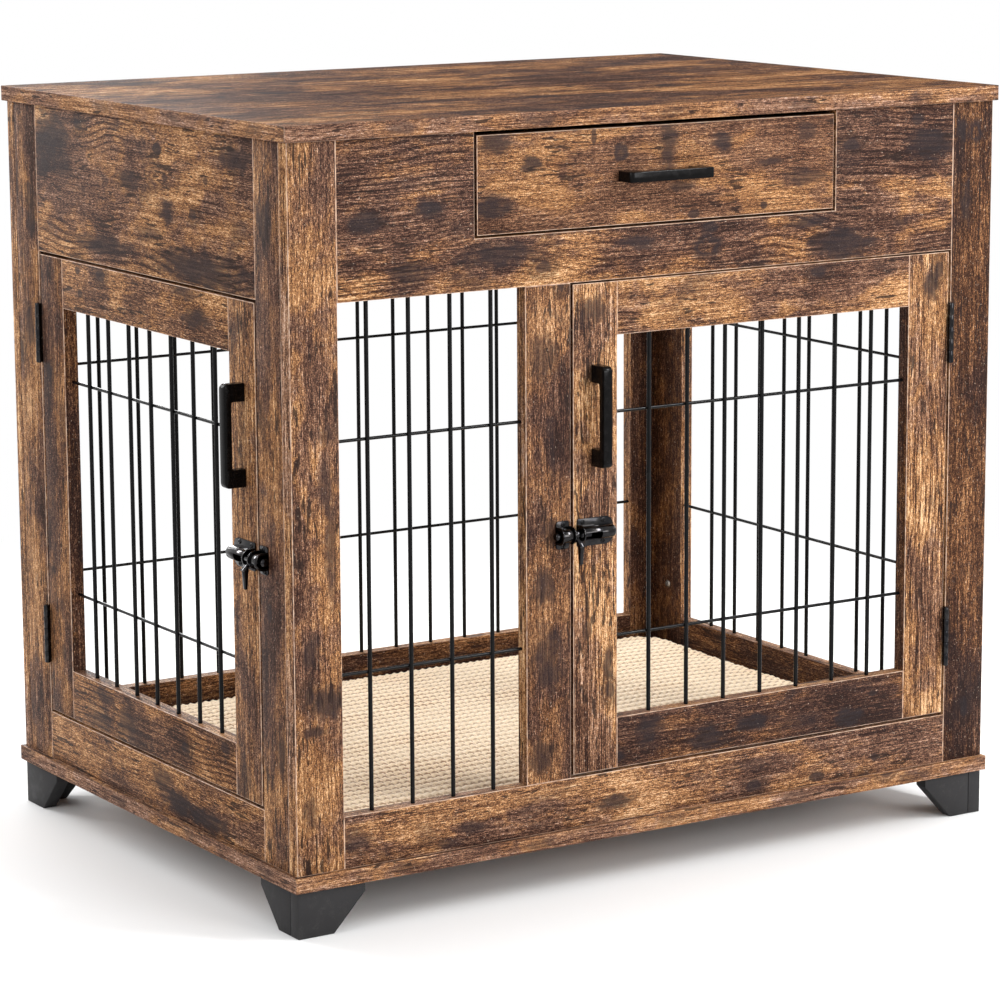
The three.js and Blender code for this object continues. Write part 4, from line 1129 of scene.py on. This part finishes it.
bolt_screw = cross_screw(SCREW_RADIUS)
housing, keeper, rod, lever = make_housing(), make_keeper(), make_rod(), make_lever()
for part in (housing, keeper):
    edge_rounded(part)
for part in (rod, lever):
    smooth(part, 40)
SCREW_ROWS = 10.3 * MM  # above and below the rod's axis
screw_places = {
    housing: [(HOUSING[0] + 6 * MM, z) for z in (-SCREW_ROWS, SCREW_ROWS)]
    + [(HOUSING[1] - 12 * MM, z) for z in (-SCREW_ROWS, SCREW_ROWS)],
    keeper: [(sum(KEEPER) / 2, z) for z in (-SCREW_ROWS, SCREW_ROWS)],
}
bolt_height = (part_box("front_bolt_rod")[0].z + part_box("front_bolt_rod")[1].z) / 2
for side in ("front", "side"):
    place = Matrix.Translation((0, 0, bolt_height)) @ door_place(side)
    pieces = {
        "bolt_housing": (housing, f"{side}_door"),
        "bolt_keeper": (keeper, "cabinet"),
        "bolt_rod": (rod, f"{side}_bolt"),
        "bolt_lever": (lever, f"{side}_bolt_turning_lever"),
    }
    for label, (made, body) in pieces.items():
        copy = put_in_place(placed_copy(made, name=f"{side}_{label}_steel"), place)
        finish_piece(copy, body, "gunmetal", [bolt_steel], [f"{side}_{label}"])
    for label, made, body in (("housing", housing, f"{side}_door"), ("keeper", keeper, "cabinet")):
        screws = [placed_copy(bolt_screw, (x, -BOLT_PLATE, z)) for x, z in screw_places[made]]
        screws = join(f"{side}_bolt_{label}_screws", screws)
        finish_piece(put_in_place(screws, place), body, "gunmetal", [bolt_steel])
for spare in (bolt_screw, housing, keeper, rod, lever):
    bpy.data.objects.remove(spare)

# ------------------------------------------------------------------ corner screws
# Nickel-plated screws with a cross recess, which pull the boards together at the corners.
# Their heads show on the inner faces of the side frames' stiles.

CORNER_SCREW_RADIUS = 4.5 * MM
CORNER_SCREW_HEIGHTS = (147 * MM, 480 * MM)
NICKEL = (196, 192, 186)
NICKEL_TARNISH = (150, 146, 140)

tones, gloss = (NICKEL, NICKEL_TARNISH), (0.3, 0.7, 0.22, 0.38)
nickel, *_ = two_tone("nickel plating", tones, (900, 2, 0.6), (0.4, 0.7), gloss, Metallic=1.0)

corner_screw = cross_screw(CORNER_SCREW_RADIUS)
for side in ("left", "right"):
    inwards = -OUTSIDE[side].x
    turn = Matrix.Rotation(radians(90 * inwards), 4, "Z")
    heads = []
    for stile in ("front", "rear"):
        low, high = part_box(f"{side}_{stile}_stile")
        face = high.x if inwards > 0 else low.x
        for height in CORNER_SCREW_HEIGHTS:
            head = placed_copy(corner_screw)
            head.data.transform(Matrix.Translation((face, (low.y + high.y) / 2, height)) @ turn)
            heads.append(head)
    finish_piece(join(f"{side}_corner_screws", heads), "cabinet", "gunmetal", [nickel])
bpy.data.objects.remove(corner_screw)

# ------------------------------------------------------------------ drawer
# A laminated front on a plain box of thinner board, with a thin panel let into its grooves.
# It runs on a shelf over the crate.

SMUDGES["drawer_front"] = [
    (-176, 724, 19, 11, 0.9), (-137, 701, 11, 8, 1.0), (-36, 707, 10, 8, 1.0, 0.3),
    (-181, 664, 25, 11, 1.0),
    (18, 715, 10, 24, 0.8), (-67, 724, 3, 9, 0.8), (33, 671, 13, 5, 0.7), (47, 644, 7, 4, 0.8),
    (80, 711, 11, 9, 1.0), (135, 689, 17, 3, 0.8), (178, 671, 26, 9, 0.7), (130, 647, 5, 4, 0.9),
    (181, 717, 13, 8, 0.6),
]
look = dict(Tone=0.03, Warmth=0.85, Smudging=0.15, Patches=0.7, Cracks=1.2, Knots=0.3)
smudges = board_smudges("drawer_front", OUTSIDE["drawer"])
add_board("drawer_front", "drawer", 71, OUTSIDE["drawer"], smudges, True, **look)
lining = laminate("drawer box", AXES[1], AXES[2], 72, Tone=0.05, Speckle=0.4, Smudging=0.2, Knots=0.0)
look = dict(Tone=0.1, Speckle=0.3, Smudging=0.0, Knots=0.0)
panel_print = laminate("drawer bottom", AXES[0], AXES[1], 73, **look)
shelf_print = laminate("drawer shelf", AXES[0], AXES[1], 74, Tone=-0.1)
for node, body, slot, material in (
    ("drawer_wrap", "drawer", "drawer_lining", lining),
    ("drawer_bottom", "drawer", "drawer_lining", panel_print),
    ("drawer_shelf", "cabinet", "rustic_board", shelf_print),
):
    piece = copy_of(node, f"{node}_board")
    bevel_edges(lambda edge: is_sharp(edge) and edge.calc_length() > WIRE_HOLE, 0.3 * MM)
    deselect()
    smooth(piece, 30)
    finish_piece(piece, body, slot, [material], [node])

# ------------------------------------------------------------------ sleeping pad
# A loose pad of beige bubble fleece over foam: its sides are drawn in between the corners,
# its top is crowned, and the pile stands in rows of small bubbles.

PAD_VOXEL = 6 * MM
PAD_SWELL = 4 * MM  # furthest that the filling pushes the cover out
FILLING_STEPS = 20
BUBBLE_LONG = 9 * MM  # along each row, which runs from side to side
BUBBLE_ROW = 14 * MM
BUBBLE_RISE = 4 * MM
ROW_WAVE, ROW_SWAY = 47 * MM, 0.16  # how the rows wander, in rows
COLUMN_WAVE, COLUMN_SWAY = 31 * MM, 0.18
FLEECE = (255, 232, 199)
# the colour of the painted shade along each bubble's front, in the furrow between rows
FLEECE_PAINTED_SHADE = (166, 126, 88)
FLEECE_SHADE = (250, 236, 218)

pad = copy_of("sleeping_pad", "sleeping_pad_cover")
bpy.ops.object.mode_set(mode="OBJECT")
pad_low, pad_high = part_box("sleeping_pad")
pad_middle = (pad_low + pad_high) / 2
pad_size = pad_high - pad_low
room = PAD_SWELL + BUBBLE_RISE
for vert in pad.data.vertices:
    for axis in range(3):
        shrink = 1 - 2 * (room if axis < 2 else room * 0.8) / pad_size[axis]
        vert.co[axis] = pad_middle[axis] + (vert.co[axis] - pad_middle[axis]) * shrink
remesh = pad.modifiers.new("even cloth", "REMESH")
remesh.mode = "VOXEL"
remesh.voxel_size = PAD_VOXEL
apply_modifiers(pad)
before = [vert.co.copy() for vert in pad.data.vertices]
cloth = pad.modifiers.new("filling", "CLOTH")
cloth.settings.use_pressure = True
cloth.settings.uniform_pressure_force = 4
cloth.settings.effector_weights.gravity = 0
for number in range(1, FILLING_STEPS + 1):
    bpy.context.scene.frame_set(number)
apply_modifiers(pad)
for vert, start in zip(pad.data.vertices, before):
    step = vert.co - start
    if step.length > PAD_SWELL:
        vert.co = start + step * (PAD_SWELL / step.length)
bpy.context.scene.frame_set(1)
rounder = pad.modifiers.new("pile", "SUBSURF")
rounder.levels = rounder.render_levels = 1
apply_modifiers(pad)
count = len(pad.data.vertices)
points = np.empty(count * 3, np.float32)
pad.data.vertices.foreach_get("co", points)
points = points.reshape(-1, 3).astype(float)
normals = np.array([normal.vector for normal in pad.data.vertex_normals])
row = points[:, 1] / BUBBLE_ROW + ROW_SWAY * np.sin(points[:, 0] / ROW_WAVE)
odd = np.floor(row) % 2
column = points[:, 0] / BUBBLE_LONG + odd * 0.5 + COLUMN_SWAY * np.sin(points[:, 1] / COLUMN_WAVE)
u, v = column % 1 - 0.5, row % 1 - 0.5
bubble = np.cos(pi * u) ** 0.7 * np.cos(pi * v) ** 0.7
facing = np.clip(np.abs(normals[:, 2]) * 1.5, 0.35, 1)
rise = BUBBLE_RISE * bubble * facing
pad.data.vertices.foreach_set("co", (points + normals * rise[:, None]).astype(np.float32).ravel())
pad.data.update()

shine = {"Roughness": 0.95, "Specular_IOR_Level": 0.1, "Sheen_Weight": 0.3, "Sheen_Roughness": 0.6}
fleece, tree, shader, place = new_material("beige bubble fleece", **shine)
tuft = noise(tree, place, (700, 700, 700), 3, 0.7)
cloud = noise(tree, place, (9, 14, 14), 2, 0.5)


def wave(value, length, height):
    swung = maths(tree, "SINE", maths(tree, "DIVIDE", value, length))
    return maths(tree, "MULTIPLY", swung, height)


# the same rows as the bubbles of the mesh, with painted shade along each bubble's front and between the
# bubbles of a row; the same furrow also dents the bump
side_way, depth_way, _ = shader_node(tree, "SeparateXYZ", {0: place}).outputs
row = maths(tree, "ADD", maths(tree, "DIVIDE", depth_way, BUBBLE_ROW), wave(side_way, ROW_WAVE, ROW_SWAY))
offset = maths(tree, "MULTIPLY", maths(tree, "FLOORED_MODULO", maths(tree, "FLOOR", row), 2.0), 0.5)
column = maths(tree, "DIVIDE", side_way, BUBBLE_LONG)
column = maths(tree, "ADD", column, wave(depth_way, COLUMN_WAVE, COLUMN_SWAY))
column = maths(tree, "ADD", column, offset)
ragged = maths(tree, "MULTIPLY", maths(tree, "SUBTRACT", tuft, 0.5), 0.25)
into_row = maths(tree, "ADD", maths(tree, "FRACT", row), ragged)
from_middle = maths(tree, "ABSOLUTE", maths(tree, "SUBTRACT", maths(tree, "FRACT", column), 0.5))
furrow_and_shade = maths(tree, "MULTIPLY", fade(tree, into_row, 0.30, 0.12), fade(tree, from_middle, 0.46, 0.34))
lap_shade = maths(tree, "MULTIPLY", fade(tree, from_middle, 0.36, 0.5), 0.3)
furrow_and_shade = maths(tree, "MAXIMUM", furrow_and_shade, lap_shade)
shade_depth = fade(tree, cloud, 0.3, 0.7, 0.55, 1.0)
colour = mixed(tree, maths(tree, "MULTIPLY", furrow_and_shade, shade_depth), paint(*FLEECE), paint(*FLEECE_PAINTED_SHADE))
colour = mixed(tree, fade(tree, cloud, 0.4, 0.7, 0, 0.3), colour, paint(*FLEECE_SHADE), "MULTIPLY")
tree.links.new(colour, shader.inputs["Base Color"])
pile = maths(tree, "SUBTRACT", maths(tree, "MULTIPLY", tuft, 0.4), furrow_and_shade)
grain_bump(tree, shader, pile, 0.5, 1.5 * MM)
smooth(pad, 180)
finish_piece(pad, "cabinet", "pad_fabric", [fleece], ["sleeping_pad"])

# ------------------------------------------------------------------ floor, light and camera
# A plain pale floor under soft light, seen from the photograph's place.

CAMERA_AT = (-1.9822, -3.1516, 1.0313)
CAMERA_TURN = (79.292, 0.303, -32.303)
CAMERA_LENS = 133.1

bpy.ops.mesh.primitive_plane_add(size=40, location=(0, 0, 0))
floor = bpy.context.object
floor.name = "floor"


def looking_rays(tree):
    """1 for rays that look at the white itself, 0 for the light that it gives to the piece."""
    ray = shader_node(tree, "LightPath").outputs
    seen = maths(tree, "MAXIMUM", ray["Is Camera Ray"], ray["Is Glossy Ray"])
    return maths(tree, "MAXIMUM", seen, ray["Is Transmission Ray"])


matt = {"Roughness": 0.9, "Base_Color": (0.9, 0.9, 0.9, 1), "Specular_IOR_Level": 0.0}
material, tree, shader, place = new_material("pale floor", **matt)
away = shader_node(tree, "VectorMath", {0: place}, operation="LENGTH").outputs["Value"]
far = maths(tree, "MULTIPLY", fade(tree, away, 0.7, 1.6), looking_rays(tree))
white = shader_node(tree, "Emission", {"Color": (1, 1, 1, 1), "Strength": 1.0})
faded = shader_node(tree, "MixShader", {0: far, 1: shader.outputs[0], 2: white.outputs[0]})
tree.links.new(faded.outputs[0], tree.nodes["Material Output"].inputs[0])
floor.data.materials.append(material)
floor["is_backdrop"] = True

world = bpy.data.worlds.new("studio")
bpy.context.scene.world = world
world.use_nodes = True
tree = world.node_tree
background = tree.nodes["Background"]
background.inputs["Color"].default_value = (1, 1, 1, 1)
tree.links.new(fade(tree, looking_rays(tree), 0, 1, 0.6, 1.0), background.inputs["Strength"])


def softbox(name, at, aim, size, power, roll=0.0):
    """A soft lamp, wide by high, at a place, looking at a point and rolled about its own axis."""
    lamp = bpy.data.lights.new(name, "AREA")
    lamp.shape = "RECTANGLE"
    lamp.size, lamp.size_y = size
    lamp.energy = power
    holder = new_object(name, lamp)
    holder.location = at
    towards = (Vector(aim) - Vector(at)).to_track_quat("-Z", "Y").to_matrix().to_4x4()
    holder.rotation_euler = (towards @ Matrix.Rotation(radians(roll), 4, "Z")).to_euler()


softbox("front softbox", (0.9, -3.2, 1.1), (0, 0, 0.3), (1.6, 1.4), 52)
softbox("left softbox", (-3.0, -0.8, 1.7), (0, 0, 0.4), (1.4, 1.4), 26)
softbox("top softbox", (0.3, 0.6, 3.4), (0, 0, 0.7), (1.8, 1.8), 24)
softbox("back softbox", (0.4, 3.2, 1.3), (0, 0, 0.1), (1.8, 1.6), 75)
softbox("right softbox", (3.1, 0.2, 1.5), (0, 0, 0.1), (1.6, 1.4), 44)
softbox("front strip lamp", (1.54, -1.88, 2.2), (-0.03, -0.29, 0.35), (0.2, 1.5), 46, -30)
softbox("side strip lamp", (-1.35, 2.3, 1.85), (-0.41, -0.2, 0.35), (0.2, 1.4), 36, 50)

camera = new_object("camera", bpy.data.cameras.new("camera"))
camera.location = CAMERA_AT
camera.rotation_euler = [radians(angle) for angle in CAMERA_TURN]
camera.data.lens = CAMERA_LENS
camera.data.sensor_width = 36
camera.data.clip_start, camera.data.clip_end = 0.1, 100
bpy.context.scene.camera = camera
bpy.context.scene.view_settings.view_transform = "Standard"

low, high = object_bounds()
